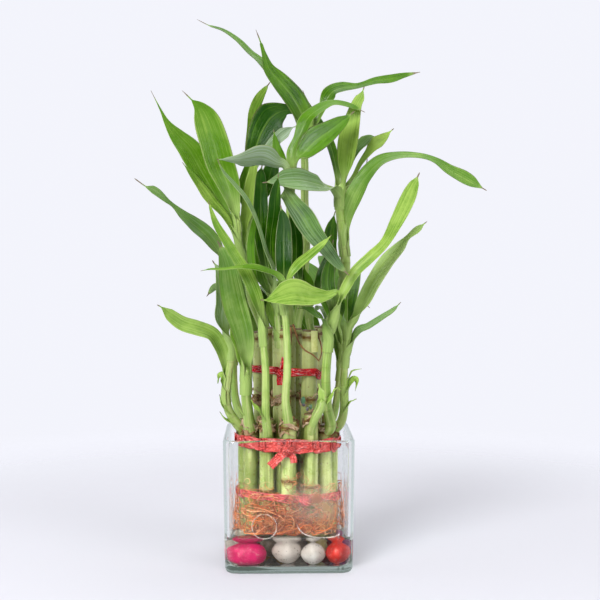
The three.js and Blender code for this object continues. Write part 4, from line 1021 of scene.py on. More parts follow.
        "stem": [(15, -12, 140), (13, -11, 152), (12, -10, 164)],
        "leaves": [
            leaf(0.77, (-0.4, -1, 0.2), 0.45, (10, -12, 167, 10.5), (11, -13, 176, 12), (10, -14, 182, 6),
                (10, -14, 187, 0)),
            leaf(0.99, (0.1, -1, 0), 0.05, (7, -15, 174, 5), (5, -16, 188, 7.5), (5, -16, 201, 8),
                (3, -16, 215, 5.5), (1, -16, 227, 0)),
            leaf(0.89, (-0.3, -1, 0), 0.12, (19, -9, 170, 8.5), (24, -8, 182, 11), (27, -7, 192, 7.5),
                (28, -6, 202, 0)),
        ],
    },
    "outer_08": {
        "height": 52, "lean": 6, "back": 4, "aim": 100,
    },
    "outer_09": {
        "height": 44, "lean": 9, "back": 4,
    },
    "outer_10": {
        "height": 56, "lean": 8, "back": 4,
    },
    "outer_11": {
        "height": 47, "lean": 6, "back": 4, "aim": 76,
    },
}

shootPlan = {
    "stepsBetween": 8,
    "stalkWidth": 3.0,
    "turnedBy": 22.0,  # how far up a leaf it takes to turn to its own face
    "nearStem": 3.5,
    "stemFoot": 2.6,
    "stemTaper": 0.8,
    "stemBulb": 0.8,
    "scarSpacing": 9.0,
    "sheathBelow": 8.0,  # how far down the stem a leaf's base clasps it
    "sheathAbove": 13.0,  # and how far up the leaf it takes to open
    "sheathCurl": 2.7,
    "sheathRows": 4,
    "tailWidth": 0.9,
    "tailLength": 3.2,  # of the thin dry end of a leaf, where the leaf names none
    "drySeed": 31,
    "backSeed": 90210,
    "backFan": [0, 22, -22, 11, -11],
    "backSwing": 6.0,
    "backTries": 20,
    "stemRowLength": 1.5,
    "fewestStemRows": 24,
    "tube": {"Sides": 20, "Bump": 0.0003, "Bump Size": 120.0},
    "blade": {"Around": 18, "Thickness": 0.0007, "Ripple": 0.28, "Ripple Size": 55.0},
}


def stemLine(shoot, cane, plan):
    if "stem" in shoot:
        points = [Vector(point) for point in shoot["stem"]]
    else:
        foot, lean, height = cane["head"].z - 4, shoot["lean"], shoot["height"]
        bends = ((7, 2), (10, 12), (10 + lean * 0.4, height * 0.5), (10 + lean, height))
        points = [caneAt(cane, foot + up) + cane["out"] * distance for distance, up in bends]
    start = caneAt(cane, min(points[0].z, cane["head"].z) - 5)
    line = smoothPath([start] + points, plan["stepsBetween"])
    return {"line": line, "along": lengthsAlong(line)}


def stemSpot(stem, share):
    return placeAlong(stem["line"], stem["along"], max(0.0, min(1.0, share)))


def backDraw(shoot, i, source, plan):  # one leaf by rule, before it is tried
    return {
        "from": shoot.get("crown", 0.97) * (1 - 0.4 * (i / shoot["back"])),
        "heading": shoot.get("aim", 90) + plan["backFan"][i] + (source.next() - 0.5) * 16,
        "length": 60 + 26 * source.next(),
        "width": 11 + 6 * source.next(),
        "rise": source.next(),
        "tilt": (source.next() - 0.5) * 1.2,
    }


def backLeaf(stem, draw, attempt, plan):
    swing = (1 if attempt % 2 else -1) * math.ceil(attempt / 2) * plan["backSwing"]
    heading = math.radians(draw["heading"] + swing)
    out = Vector((math.cos(heading), math.sin(heading), 0))
    length = draw["length"] * (1 - 0.012 * attempt)
    rise = draw["rise"]
    root = stemSpot(stem, draw["from"])
    shape = (  # reach, height and width as shares
        (0.07, 0.18, 0.6), (0.18, 0.38, 0.92), (0.34, 0.53 + 0.03 * rise, 1.0),
        (0.52, 0.56 + 0.16 * rise, 0.84), (0.68, 0.5 + 0.32 * rise, 0.5), (0.82, 0.38 + 0.5 * rise, 0.0),
    )
    through = []
    for across, up, part in shape:
        point = root + out * (across * length) + Vector((0, 0, up * length))
        through.append((*point, part * draw["width"]))
    face = (-out.x - draw["tilt"] * out.y, -out.y + draw["tilt"] * out.x, 1.4)
    return {"start": draw["from"], "face": face, "through": through}


def backLeaves(name, shoot, stem, source, plan):  # each tip lies on its solid shoot
    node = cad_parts[f"shoot_{name}"]
    kept = KDTree(len(node.data.vertices))
    for i, vertex in enumerate(node.data.vertices):
        kept.insert(node.matrix_world @ vertex.co, i)
    kept.balance()
    for i in range(shoot["back"]):
        draw = backDraw(shoot, i, source, plan)
        for attempt in range(plan["backTries"]):
            one = backLeaf(stem, draw, attempt, plan)
            if kept.find(Vector(one["through"][-1][:3]) * mm)[2] < 0.3 * mm:
                yield one
                break


def leafRows(leaf, stem, radius, number, plan, dryness):
    start = stemSpot(stem, leaf["start"])
    inward = flat(start - Vector(leaf["through"][0][:3]))
    face = Vector(leaf["face"]).normalized()
    level = flat(face)
    if inward.length < plan["nearStem"] and level.length > 0.3 and inward.dot(level) < 0:
        inward = level  # the last leaf of a shoot clasps its stem from behind
    inward = inward.normalized() if inward.length > 0.01 else Vector((0, 1, 0))
    tipFace = Vector(leaf.get("tipFace", leaf["face"])).normalized()
    points = [Vector((*start, plan["stalkWidth"]))] + [Vector(point) for point in leaf["through"]]
    curve = smoothPath(points, plan["stepsBetween"])  # its fourth number is the width
    line = [point.to_3d() for point in curve]
    along = lengthsAlong(line)
    length, stemLength = along[-1], stem["along"][-1]
    opening = min(plan["sheathAbove"], length * 0.35)
    sheath = radius * (1.04 + 0.05 * (number % 4))
    below = min(plan["sheathBelow"], leaf["start"] * stemLength * 0.8)
    thinEnd = leaf.get("tail", plan["tailLength"])
    rows = []
    lastTurn = 0.0

    def addRow(spot, tangent, reach, width):
        nonlocal lastTurn
        share = max(0.0, reach / length)
        base = squareTo(tangent, inward)
        goal = squareTo(tangent, face.lerp(tipFace, max(0.0, (share - 0.4) / 0.6)))
        turn = math.atan2(tangent.dot(base.cross(goal)), base.dot(goal))
        turn += 2 * math.pi * round((lastTurn - turn) / (2 * math.pi))
        lastTurn = turn
        normal = Matrix.Rotation(turn * smoothStep(reach / plan["turnedBy"]), 3, tangent) @ base
        open = smoothStep(reach / opening)
        tail = plan["tailWidth"] + 1.2 * max(0.0, length - reach - thinEnd)
        half = max(0.16, mixed(max(sheath, width / 2) if reach > 0 else sheath, min(width, tail) / 2, open))
        channel = 0.14 + 0.45 * (1 - share) ** 3
        rows.append({
            "spot": spot, "half": half * mm, "along": reach * mm, "share": share,
            "curl": mixed(plan["sheathCurl"], 2 * math.atan(channel * 0.6), open),
            "crease": channel * 0.6 * open, "lift": mixed(-half, -channel * half / 2, open) * mm,
            "body": mixed(1.0, 0.35, smoothStep((share - 0.75) / 0.25)),
            "seed": float(number % 97) * 1.7, "tone": leaf["tone"], "silver": leaf.get("silver", 0.0),
            "dry": smoothStep((share - 1 + dryness) / max(0.01, dryness)),
            "side": tangent.cross(normal), "face": normal,
        })

    for step in range(plan["sheathRows"]):  # down the stem, where the base clasps it
        back = 1 - step / plan["sheathRows"]
        share = leaf["start"] - below / stemLength * back
        ahead = stemSpot(stem, share + 0.01) - stemSpot(stem, share - 0.01)
        addRow(stemSpot(stem, share), ahead.normalized(), -below * back, plan["stalkWidth"])
    for spot, tangent, reach, point in zip(line, tangentsAlong(line), along, curve):
        addRow(spot, tangent, reach, point.w)
    return rows


leafTotal = 0


def growShoot(name, shoot, cane, source, plan):
    global leafTotal
    stem = stemLine(shoot, cane, plan)
    radius = shoot.get("radius", plan["stemFoot"])
    leaves = list(shoot.get("leaves", []))
    if "back" in shoot:
        leaves += backLeaves(name, shoot, stem, source, plan)
    total = stem["along"][-1]
    stemRows = []
    steps = max(plan["fewestStemRows"], round(total / plan["stemRowLength"]))
    spacing = plan["scarSpacing"]
    for k in range(steps + 1):
        share = k / steps
        reach = share * total
        near = abs((reach + leafTotal * 3.1) % spacing - spacing / 2)
        girth = radius * mixed(1, plan["stemTaper"], share) + plan["stemBulb"] * max(0.0, 1 - share * 4)
        girth += 0.06 * fallOff(near, 1.2)
        girth *= math.sqrt(max(0.02, 1 - max(0.0, (reach - total + 3) / 3) ** 2))
        stemRows.append({
            "spot": stemSpot(stem, share), "girth": girth * mm, "along": reach * mm, "scar": near * mm,
            "seed": float(leafTotal),
        })
    body = growPiece(f"shoot_{name}_look", [stemRows], tubeTree, plan["tube"], stemMaterial, leafTotal)
    chance = random.Random(plan["drySeed"] + leafTotal)
    strands = []
    for one in leaves:
        leafTotal += 1
        one.setdefault("tone", 0.45 + 0.3 * (chance.random() - 0.5))
        dryness = 0.04 + 0.08 * chance.random() + (0.06 if "tail" in one else 0.0)
        strands.append(leafRows(one, stem, radius * 0.86, leafTotal, plan, dryness))
    blades = growPiece("blades", strands, bladeTree, plan["blade"], leafMaterial)
    piece = joinPieces([body, blades], f"shoot_{name}_look")
    keepInside(piece)
    settle(piece, "leaf", f"shoot_{name}")


backSource = NumberSource(shootPlan["backSeed"])
for name, shoot in shoots.items():
    growShoot(name, shoot, canes[name], backSource, shootPlan)
print("shoots ready,", leafTotal, "leaves")


# The square glass vase, its water and what hangs in it. Millimetres here.

vasePlan = {
    "width": 80.0, "height": 81.0, "floor": 3.5, "wall": 3.0, "corner": 8.0, "draft": 1.0, "wave": 0.16,
    "steps": 8, "sides": 5,  # parts of a round corner and of a flat side
    "waterLevel": 21.7, "meniscus": 0.9,
    "waterOverlap": 0.12,  # into the glass, so that no air shows between them
    "foot": [  # of the outer face: how far inside it, how much sharper its corner is, height
        (9, 4, 0.25), (5.2, 2.4, 0.05), (3.4, 2, 0), (2.6, 1.5, 0.2), (1.9, 1, 0.7), (1.4, 0.5, 1.6),
        (1, 0, 3), (0.9, 0, 9),
    ],
    "lip": [(0.1, 0, -0.9), (0.4, 0, -0.4), (0.8, 0.4, -0.1), (1.4, 1, 0), (2.1, 1.6, -0.1), (2.6, 2, -0.4),
            (2.9, 2.7, -0.9)],  # the same, its last three on the inner face and its heights from the top
    "bowl": [(2.4, 0.3, 2.4), (1, 1.4, 1), (0, 2.6, 0.3), (0, 5, 0)],  # the inner wall by the floor
}


def innerHalf(z):  # how far the inner wall stands from the middle
    return vasePlan["width"] / 2 - vasePlan["wall"] - vasePlan["draft"] * (1 - z / vasePlan["height"])


def squareRing(half, corner, z):
    steps, sides = vasePlan["steps"], vasePlan["sides"]
    ring = []
    for side in range(4):
        turned = quarterTurn(side)
        for i in range(steps + 1):
            turn = (i / steps) * math.pi / 2
            x, y = (half - corner + corner * part for part in (math.cos(turn), math.sin(turn)))
            ring.append(turned @ Vector((x, y, z)))
        for i in range(1, sides):
            ring.append(turned @ Vector((mixed(half - corner, corner - half, i / sides), half, z)))
    return ring


def loftMesh(name, rings, firstInner):  # a closed skin through rings; "inside" marks those of the inner wall
    shape = bmesh.new()
    layers = [[shape.verts.new(spot * mm) for spot in ring] for ring in rings]
    count = len(rings[0])
    for low, high in zip(layers, layers[1:]):
        for i in range(count):
            shape.faces.new((low[i], low[(i + 1) % count], high[(i + 1) % count], high[i]))
    shape.faces.new(layers[0])
    shape.faces.new(layers[-1])
    bmesh.ops.recalc_face_normals(shape, faces=shape.faces)
    piece = keepMesh(name, shape)
    marks = piece.data.attributes.new("inside", "FLOAT", "POINT")
    marks.data.foreach_set("value", [float(i // count >= firstInner) for i in range(len(rings) * count)])
    return piece


def glassWave(spot):  # thick pressed glass is never quite flat
    push = vasePlan["wave"] * (noise.noise(spot * 0.045 + Vector((3.1, 7.7, 1.3))) - 0.1)
    away = flat(spot)
    return spot - away.normalized() * abs(push) if away.length > 1 else spot


glassLook = {
    "tint": rgb(253, 254, 254),
    "foot": rgb(140, 152, 142),
    "edge": (0.6, 0.71, 0.67, 1.0),
    "shadow": (0.96, 0.98, 0.98, 1.0),
    "deepWall": rgb(200, 211, 212),  # painted light: the glow a ray shows once it has run far inside the glass, standing for the light left in it
    "deepFoot": rgb(102, 114, 106),
    "deepAfter": 2.5,
    "density": 8.5,
    "veil": 0.06,  # of the fine film of damp above the water
    "fog": rgb(190, 184, 178),
    "fogBrown": rgb(150, 128, 104),
    "fogSpot": (0.015, 0.0, 0.056),  # its middle, in a space that is 1.3 times as high
}


def makeGlassMaterial(look):
    material = startMaterial("thickGlass")
    y, z = parts(objectSpot())[1:]
    smear = mottle(60.0, 0.38, 0.7)
    flatSpot = vectorCalc("MULTIPLY", {0: objectSpot(), 1: (1.0, 0.0, 1.3)})
    middle = vectorCalc("DISTANCE", {0: flatSpot, 1: look["fogSpot"]}, "Value")
    damp = field("inside") * ramp(y, -0.034, -0.036) * ramp(z, 0.023, 0.0245)
    fog = ramp(middle, 0.022, 0.008) * ramp(smear, 0.0, 1.0, 0.3, 1.0) * damp
    veil = ramp(z, 0.074, 0.04, 0.0, look["veil"]) * ramp(smear, 0.0, 1.0, 0.6, 1.0)
    film = addNode("ShaderNodeBsdfDiffuse", {0: mixColour(smear, look["fog"], look["fogBrown"])})
    dusted = mixShader(fog * 0.34 + veil * damp, baseShader(), film)
    # painted light: after three or more reflections inside the glass, a ray shows this glow, darker at the
    # foot, in place of what lies beyond
    deepTint = mixColour(ramp(z, 0.004, 0.007), look["deepFoot"], look["deepWall"])
    deepRay = calc("GREATER_THAN", addNode("ShaderNodeLightPath", out="Glossy Depth"), look["deepAfter"])
    deep = mixShader(deepRay, dusted, addNode("ShaderNodeEmission", {0: deepTint}))
    return endMaterial(material, {
        "Base Color": mixColour(ramp(z, 0.0036, 0.002), look["tint"], look["foot"]), "Roughness": fog * 0.32,
        "Metallic": 0.0, "Transmission Weight": 1.0, "IOR": 1.5,
    }, Surface=passShadow(deep, look["shadow"]),
        Volume=addNode("ShaderNodeVolumeAbsorption", {0: look["edge"], 1: look["density"]}))


def makeVase(plan):
    half, top, corner = plan["width"] / 2, plan["height"], plan["corner"]
    outer = plan["foot"] + [(0.9 * (1 - i / 9), 0, mixed(9, top - 1.6, i / 9)) for i in range(1, 10)]
    outer += [(back, sharper, top + z) for back, sharper, z in plan["lip"]]
    profile = [(half - back, corner - sharper, z) for back, sharper, z in outer]
    corner -= plan["wall"]
    for i in range(11):
        z = mixed(top - 1.6, plan["floor"] + 4, i / 10)
        profile.append((innerHalf(z), corner, z))
    for at, back, z in plan["bowl"]:
        profile.append((innerHalf(plan["floor"] + at) - back, corner, plan["floor"] + z))
    rings = [[glassWave(spot) for spot in squareRing(*row)] for row in profile]
    piece = loftMesh("vase_look", rings, len(outer) - 3)
    piece.data.materials.append(makeGlassMaterial(glassLook))
    settle(piece, "vase_glass", "vase")


waterLook = {
    "tint": rgb(248, 246, 242),
    "shadow": (0.92, 0.9, 0.86, 1.0),
    "murk": (0.5, 0.36, 0.28, 1.0),
    "density": 29.0,
}


def makeWaterMaterial(look):
    material = startMaterial("stillWater")
    return endMaterial(material, {
        "Base Color": look["tint"], "Roughness": 0.0, "Metallic": 0.0, "Transmission Weight": 1.0,
        "IOR": 1.33, "Normal": bumps(grain(objectSpot(), 90.0, 1.0), 0.08, 0.001),
    }, Surface=passShadow(baseShader(), look["shadow"]),
        Volume=addNode("ShaderNodeVolumeAbsorption", {0: look["murk"], 1: look["density"]}))


def makeWater(plan):
    floor, level, over = plan["floor"], plan["waterLevel"], plan["waterOverlap"]
    corner = plan["corner"] - plan["wall"]
    profile = [(innerHalf(floor) - 5, corner, floor + 0.25)]
    profile.append((innerHalf(floor) - 2.6 + over, corner, floor + 0.45))
    for rise, back in ((1, 1.4), (2.4, 0.3)):
        profile.append((innerHalf(floor + rise) - back + over, corner, floor + rise))
    for i in range(6):
        z = mixed(floor + 4, level, i / 5)
        profile.append((innerHalf(z) + over, corner, z))
    for drop, back in ((0.25, 0.25), (0.5, 0.7), (0.68, 1.4), (0.8, 2.6)):  # it climbs the glass a little
        profile.append((innerHalf(level) + over - back, corner - 0.3 * back, level - plan["meniscus"] * drop))
    piece = loftMesh("water_look", [squareRing(*row) for row in profile], len(profile))
    piece.data.materials.append(makeWaterMaterial(waterLook))
    settle(piece, "water", "water")


makeVase(vasePlan)
makeWater(vasePlan)
print("vase and water ready")


# The pebbles, in one layer on the floor apart from one small one

pebbleLook = {
    "speck": rgb(86, 80, 74), "scuff": rgb(236, 228, 220), "gap": 0.3,
    "boxy": 1.8, "boxyPink": 2.8,  # the power that squares the egg
}

pebblePlan = [  # name, place and lift, half axes, turn in degrees, colour, second colour, gloss, slot
    ("pink", (-24.9, -27, 0), (10.6, 8.2, 6.7), -2, (204, 0, 96), (176, 0, 78), 0.5, "pink"),
    ("white_large", (-1, -24.4, 0), (8.9, 8.4, 7.8), 0, (200, 194, 190), (196, 188, 182), 0.5, "white"),
    ("white_round", (14.8, -28.4, 0), (7.2, 6.9, 6.9), 0, (202, 198, 196), (190, 182, 176), 0.5, "white"),
    ("red", (29.1, -27, 0), (6.5, 8.2, 7.2), 0, (206, 42, 26), (160, 26, 20), 0.4, "red"),
    ("yellow", (17.4, -13.2, 0), (6.8, 6.8, 7.4), 30, (214, 208, 158), (186, 180, 120), 0.45, "yellow"),
    ("purple", (30, -10.2, 0), (5.6, 8, 7), 0, (138, 48, 116), (100, 30, 84), 0.4, "purple"),
    ("grey", (-27.2, -9.4, 0), (8.4, 8.2, 7.6), 0, (206, 204, 196), (160, 156, 148), 0.5, "grey"),
    ("stone", (-10.6, -7.4, 0), (7, 7.6, 8.6), 30, (176, 170, 160), (130, 122, 110), 0.55, "grey"),
    ("middle", (5.4, -2.2, 0), (7, 8, 8.6), 60, (224, 222, 216), (190, 186, 178), 0.5, "white"),
    ("orange", (-26.6, 8.8, 0), (8.8, 8.2, 8.6), 10, (216, 108, 48), (176, 76, 30), 0.4, "orange"),
    ("back_left", (-24.6, 27, 0), (10.2, 8.4, 8.4), -6, (226, 224, 218), (190, 188, 182), 0.5, "white"),
    ("back", (-7, 13, 0), (8.4, 9.8, 8.6), -20, (200, 168, 66), (160, 126, 40), 0.4, "gold"),
    ("back_right", (8.8, 25.6, 0), (8, 9.6, 8.6), 20, (222, 30, 116), (180, 14, 88), 0.38, "pink"),
    ("corner", (26.8, 25.4, 0), (8.6, 8.2, 8.4), 50, (64, 112, 170), (36, 76, 130), 0.42, "blue"),
    ("orange_red", (27.6, 7.2, 0), (8, 8.2, 6.4), 0, (212, 64, 36), (170, 40, 24), 0.4, "red"),
    ("small", (32.4, -0.6, 8.9), (3.4, 4, 3.6), 0, (228, 226, 220), (190, 186, 180), 0.5, "white"),
]


def makePebbleMaterial(name, first, second, gloss, look):
    material = startMaterial(f"pebble_{name}")
    blotch, scuff = mottle(140.0, 0.35, 0.68), mottle(420.0, 0.56, 0.7)
    base = mixColour(blotch, rgb(*first), rgb(*second))
    base = mixColour(specks(620.0, 0.3, 0.28) * (0.8 if "white" in name else 0.4), base, look["speck"])
    return endMaterial(material, {
        "Base Color": mixColour(scuff * 0.18, base, look["scuff"]), "Normal": bumps(blotch, 0.4, 0.0004),
        "Roughness": ramp(scuff, 0.0, 1.0, gloss, gloss + 0.25),
    })


def makePebble(name, place, size, turn, first, second, gloss, slot):
    shape = bmesh.new()
    bmesh.ops.create_icosphere(shape, subdivisions=4, radius=1)
    turned = Matrix.Rotation(math.radians(turn), 3, "Z")
    middle = Vector(place) + Vector((0, 0, vasePlan["floor"] + pebbleLook["gap"] + size[2]))
    boxy = pebbleLook["boxyPink" if name == "pink" else "boxy"]
    for vert in shape.verts:
        x, y, z = vert.co / sum(abs(part) ** boxy for part in vert.co) ** (1 / boxy)
        square = 1 + 0.07 * (1 - abs(z) ** 3) * math.cos(4 * math.atan2(y, x))
        spot = Vector((x * square * size[0] * (1 - 0.06 * y), y * square * size[1], z * size[2]))
        rough = noise.fractal(vert.co * 1.6 + middle * 0.37, 1.0, 2.0, 3)
        vert.co = (turned @ (spot * (1 - 0.035 * abs(rough))) + middle) * mm
    piece = keepMesh(f"pebble_{name}_look", shape)
    piece.data.materials.append(makePebbleMaterial(name, first, second, gloss, pebbleLook))
    settle(piece, f"pebble_{slot}", f"pebble_{name}")


for row in pebblePlan:
    makePebble(*row)
print("pebbles ready")


# The ribbons: crumpled foil round a tier of canes, held in a knot at the front

ribbonPlan = {
    "upper": {
        "tier": "inner", "level": 121, "tilt": 1.6, "height": 5.6, "knot": (-4.8, -25, 120.6), "bow": 3.4,
        "colour": rgb(246, 34, 48), "fade": 0.0, "glint": 0.9, "loops": 5,
        "tails": [(4, [(-4.8, -25.2, 121), (-5.4, -25.5, 117), (-5.2, -25.6, 113)]),  # width and spots
                  (3, [(-4.8, -25.2, 121), (-3.6, -25.7, 126), (-2.8, -26, 130)])],
    },
    "middle": {
        "tier": "outer", "level": 76.6, "tilt": 1.2, "height": 10, "knot": (-0.6, -34, 74.6), "bow": 5.4,
        "colour": rgb(255, 88, 78), "fade": 0.1, "glint": 0.35, "loops": 8,
        "tails": [(5.2, [(-0.8, -34.2, 75), (-5.4, -34.6, 71), (-11.4, -34.4, 65)]),
                  (4, [(0, -34.4, 74), (2.4, -34.8, 70.4), (3, -34.6, 67)])],
    },
    "lower": {
        "tier": "outer", "level": 44.6, "tilt": 1.4, "height": 5.8, "knot": (9, -32.6, 43.8), "bow": 4.6,
        "colour": rgb(255, 84, 90), "fade": 0.2, "glint": 0.3, "loops": 3, "tails": [],
    },
}


foil = {
    # shade: painted shade of the folds; glint: painted glints; the pale pink: painted haze
    "shade": rgb(170, 8, 22), "glint": rgb(255, 196, 192), "hazePink": rgb(240, 150, 150),
    "blade": {
        "Around": 14, "Thickness": 0.0004, "Ripple": 0.9, "Ripple Size": 260.0, "Crumple": 0.0028,
        "Crumple Size": 420.0,
    },
    "offCane": 0.75, "clearance": 0.55, "nudge": 0.2, "firstSeed": 800,
}


def makeFoilMaterial(name, colour, fade, glint):
    material = startMaterial(name)
    cells = {"Vector": objectSpot(), "Scale": 520.0}
    crumple = addNode("ShaderNodeTexVoronoi", cells, "Distance", feature="F2")
    folds = combined(field("along") * 190.0, sectionParts()[0] * 2.6, field("seed"))
    crease = grain(folds, 1.0)
    # painted shade: darker blotches stand for shaded folds, fewer on ribbons lower down
    base = mixColour(mottle(170.0, 0.35, 0.65) * (0.4 - fade), colour, foil["shade"])
    # painted glints: narrow pale streaks along the folds
    base = mixColour(ramp(crease, 0.55, 0.63, 0.0, glint), base, foil["glint"])
    # painted haze: ribbons lower in the vase are paled towards pink, for the glare of the glass in front of
    # them
    base = mixColour(fade, base, foil["hazePink"])
    bump = bumps(crease * 1.6 + crumple * 0.5, 1.0, 0.0026 - 0.006 * fade)
    glow = addNode("ShaderNodeBsdfTranslucent", {0: base, 1: bump})
    return endMaterial(material, {
        "Base Color": base, "Metallic": 0.25, "Roughness": ramp(crease, 0.35, 0.6, 0.1, 0.36),
        "Specular IOR Level": 1.0, "Normal": bump,
    }, Surface=mixShader(0.12, baseShader(), glow))


def ribbonRow(spot, tangent, face, width, reach, seed, curl=0.25):
    return {
        "spot": spot, "half": width / 2 * mm, "curl": curl, "crease": 0.0, "lift": 0.0, "body": 1.0,
        "along": reach * mm, "seed": seed, "side": tangent.cross(face), "face": face,
    }


def stripRows(points, looking, width, seed, twist=0.0):
    line = smoothPath([Vector(point) for point in points], 8)
    along = lengthsAlong(line)
    rows = []
    for spot, tangent, reach in zip(line, tangentsAlong(line), along):
        face = Matrix.Rotation(twist * reach / along[-1], 3, tangent) @ squareTo(tangent, looking)
        rows.append(ribbonRow(spot, tangent, face, width, reach, seed))
    return rows


def clearOfCanes(spot, ring):  # a spot moved outwards until it clears every cane of its tier
    out = flat(spot).normalized()
    for step in range(30):
        gap = min((spot - caneAt(cane, spot.z)).length - cane["radius"] for cane in ring)
        if gap > canePlan["swelling"] + foil["clearance"]:
            break
        spot = spot + out * foil["nudge"]
    return spot


def beltRows(plan, chance, seed):
    ring = [cane for name, cane in canes.items() if name.startswith(plan["tier"]) and name != "inner_7"]
    reach = 180 / len(ring) * (1 if plan["tier"] == "inner" else 0.5)
    stations = []
    for cane in ring:
        for side in (-reach, 0, reach):
            out = outwards(math.radians(cane["angle"] + side))
            z = plan["level"] - plan["tilt"] * out.x + 0.9 * (chance.random() - 0.5)
            z -= 2.2 * smoothStep(1 + out.y)
            spot = caneAt(cane, z) + out * (cane["radius"] + canePlan["swelling"] + foil["offCane"])
            stations.append((math.atan2(spot.x, -spot.y), spot))
    stations.sort(key=lambda station: station[0])
    points = [clearOfCanes(spot, ring) for angle, spot in stations]
    closed = points[-2:] + points + points[:2]
    line = [clearOfCanes(spot, ring) for spot in smoothPath(closed, 8)[16:-16]]
    along = lengthsAlong(line)
    rows = []
    for i, spot in enumerate(line):
        tangent = (line[(i + 1) % len(line)] - line[i - 1]).normalized()
        width = plan["height"] * (0.84 + 0.2 * noise.noise(spot * 0.11 + Vector((seed, 0, 0))))
        rows.append(ribbonRow(spot, tangent, squareTo(tangent, flat(spot)), width, along[i], seed, 0.35))
    return rows


def makeRibbon(name, plan, number):
    chance = random.Random(foil["firstSeed"] + number)
    material = makeFoilMaterial(f"foil_{name}", plan["colour"], plan["fade"], plan["glint"])
    strands = [beltRows(plan, chance, float(number))]
    knot, front = Vector(plan["knot"]), Vector((0, -1, 0))
    for width, points in plan["tails"]:
        strands.append(stripRows(points, front, width, chance.random() * 9))
    for i in range(plan["loops"]):  # short bits that go over and round the knot
        turn = math.pi * i / plan["loops"] + 0.5 * chance.random()
        way = Vector((math.cos(turn), 0, math.sin(turn) * 0.75)) * plan["bow"] * (0.7 + 0.4 * chance.random())
        rise = Vector((0, -1.4 - 0.8 * chance.random(), 0))
        points = [knot - way, knot - way * 0.4 + rise, knot + way * 0.4 + rise, knot + way]
        width = 2.2 + 1.6 * chance.random()
        strands.append(stripRows(points, front, width, chance.random() * 9, chance.random()))
    piece = growPiece(f"ribbon_{name}_look", strands, bladeTree, foil["blade"], material)
    settle(piece, "ribbon", f"ribbon_{name}")


for number, (name, plan) in enumerate(ribbonPlan.items()):
    makeRibbon(name, plan, number)
print("ribbons ready")


# Roots: fine strands that hang from the feet of the canes and spread in the water, between canes and glass

rootPlan = {
    "near": 34.9, "corner": 42.0, "low": 23.0, "seed": 73, "steps": 9, "widest": 44.5, "girth": (0.14, 0.4),
    "mats": [  # side, angles, heights, depth, how many, lengths, darkness (painted shade, most in the middle and at the back)
        (0, (-43, 42), (24, 43), 9, 200, (14, 44), 0.1),
        (0, (-17, 8), (23, 37), 6, 150, (12, 34), 0.8),
        (0, (-40, -22), (24, 34), 7, 34, (10, 26), 0.2),
        (0, (-44, -20), (30, 55), 3, 64, (5, 13), 0),
        (0, (22, 44), (30, 55), 3, 60, (5, 13), 0),
        (0, (-3, 13), (40, 60), 4, 40, (6, 16), 0.3),
        (90, (-43, 43), (24, 46), 9, 84, (12, 38), 0.05),
        (180, (-43, 43), (24, 44), 9, 130, (12, 38), 0.2),
        (-90, (-43, 43), (24, 46), 9, 84, (12, 38), 0.05),
    ],
    "shallow": 5,  # mats less deep than this are of fine strands
    "tube": {"Sides": 4, "Bump": 0.00005, "Bump Size": 700.0},
}

rootLook = {
    "orange": rgb(232, 116, 50),
    "brown": rgb(96, 32, 16),
    "pale": rgb(250, 206, 160),
    "blotch": rgb(250, 180, 110),
    "crown": rgb(120, 80, 40),
    "dark": rgb(120, 38, 14),
}


def makeRootMaterial(look):
    material = startMaterial("rootSkin")
    pick = seedNoise(5.0)
    base = mixColour(ramp(pick, 0.4, 0.62), look["orange"], look["brown"])
    base = mixColour(ramp(pick, 0.43, 0.33, 0.0, 0.75), base, look["pale"])
    base = mixColour(mottle(240.0, 0.35, 0.65) * 0.3, base, look["blotch"])
    base = mixColour(ramp(field("along"), 0.0, 0.004, 0.3, 0.0), base, look["crown"])
    # painted shade: each strand's darkness, held in its scar field, is greatest for the mats in the middle
    # and at the back
    base = mixColour(field("scar"), base, look["dark"])
    soft = subsurface(0.15, (1.0, 0.4, 0.2), 0.0006)
    return endMaterial(material, {"Base Color": base, "Roughness": 0.3} | soft)


def rootSpot(side, angle, z, depth):
    distance = min(rootPlan["corner"], rootPlan["near"] / math.cos(math.radians(angle))) - depth
    return outwards(math.radians(side + angle)) * distance + Vector((0, 0, z))


def rootLine(side, angles, heights, deep, lengths, plan, chance):  # it wanders close to the glass
    lowest = plan["low"] + 4 * chance.random() ** 2
    angle = mixed(*angles, chance.random())
    z = mixed(*heights, chance.random() ** 1.5)
    depth = mixed(0, deep, chance.random() ** 1.4)
    step = mixed(*lengths, chance.random() ** 1.6) / plan["steps"]
    heading = chance.random() * 2 * math.pi if chance.random() < 0.5 else chance.random() * 0.8 - 0.4
    bend = (chance.random() - 0.5) * 0.7
    points = []
    for k in range(plan["steps"] + 1):
        points.append(rootSpot(side, angle, z, depth))
        bend += (chance.random() - 0.5) * 0.5
        heading += bend
        angle += math.degrees(step * math.cos(heading) / plan["near"])
        angle = max(-plan["widest"], min(plan["widest"], angle))
        if abs(angle) > plan["widest"] - 0.5:
            heading = math.pi - heading
        z = min(heights[1] + 4, z + step * math.sin(heading) - 0.15)
        if z < lowest:
            z, heading, bend = lowest, abs(math.sin(heading)) * 0.6, -bend
        depth = max(0.0, min(deep, depth + (chance.random() - 0.5) * 1.4))
    return smoothPath(points, 2)


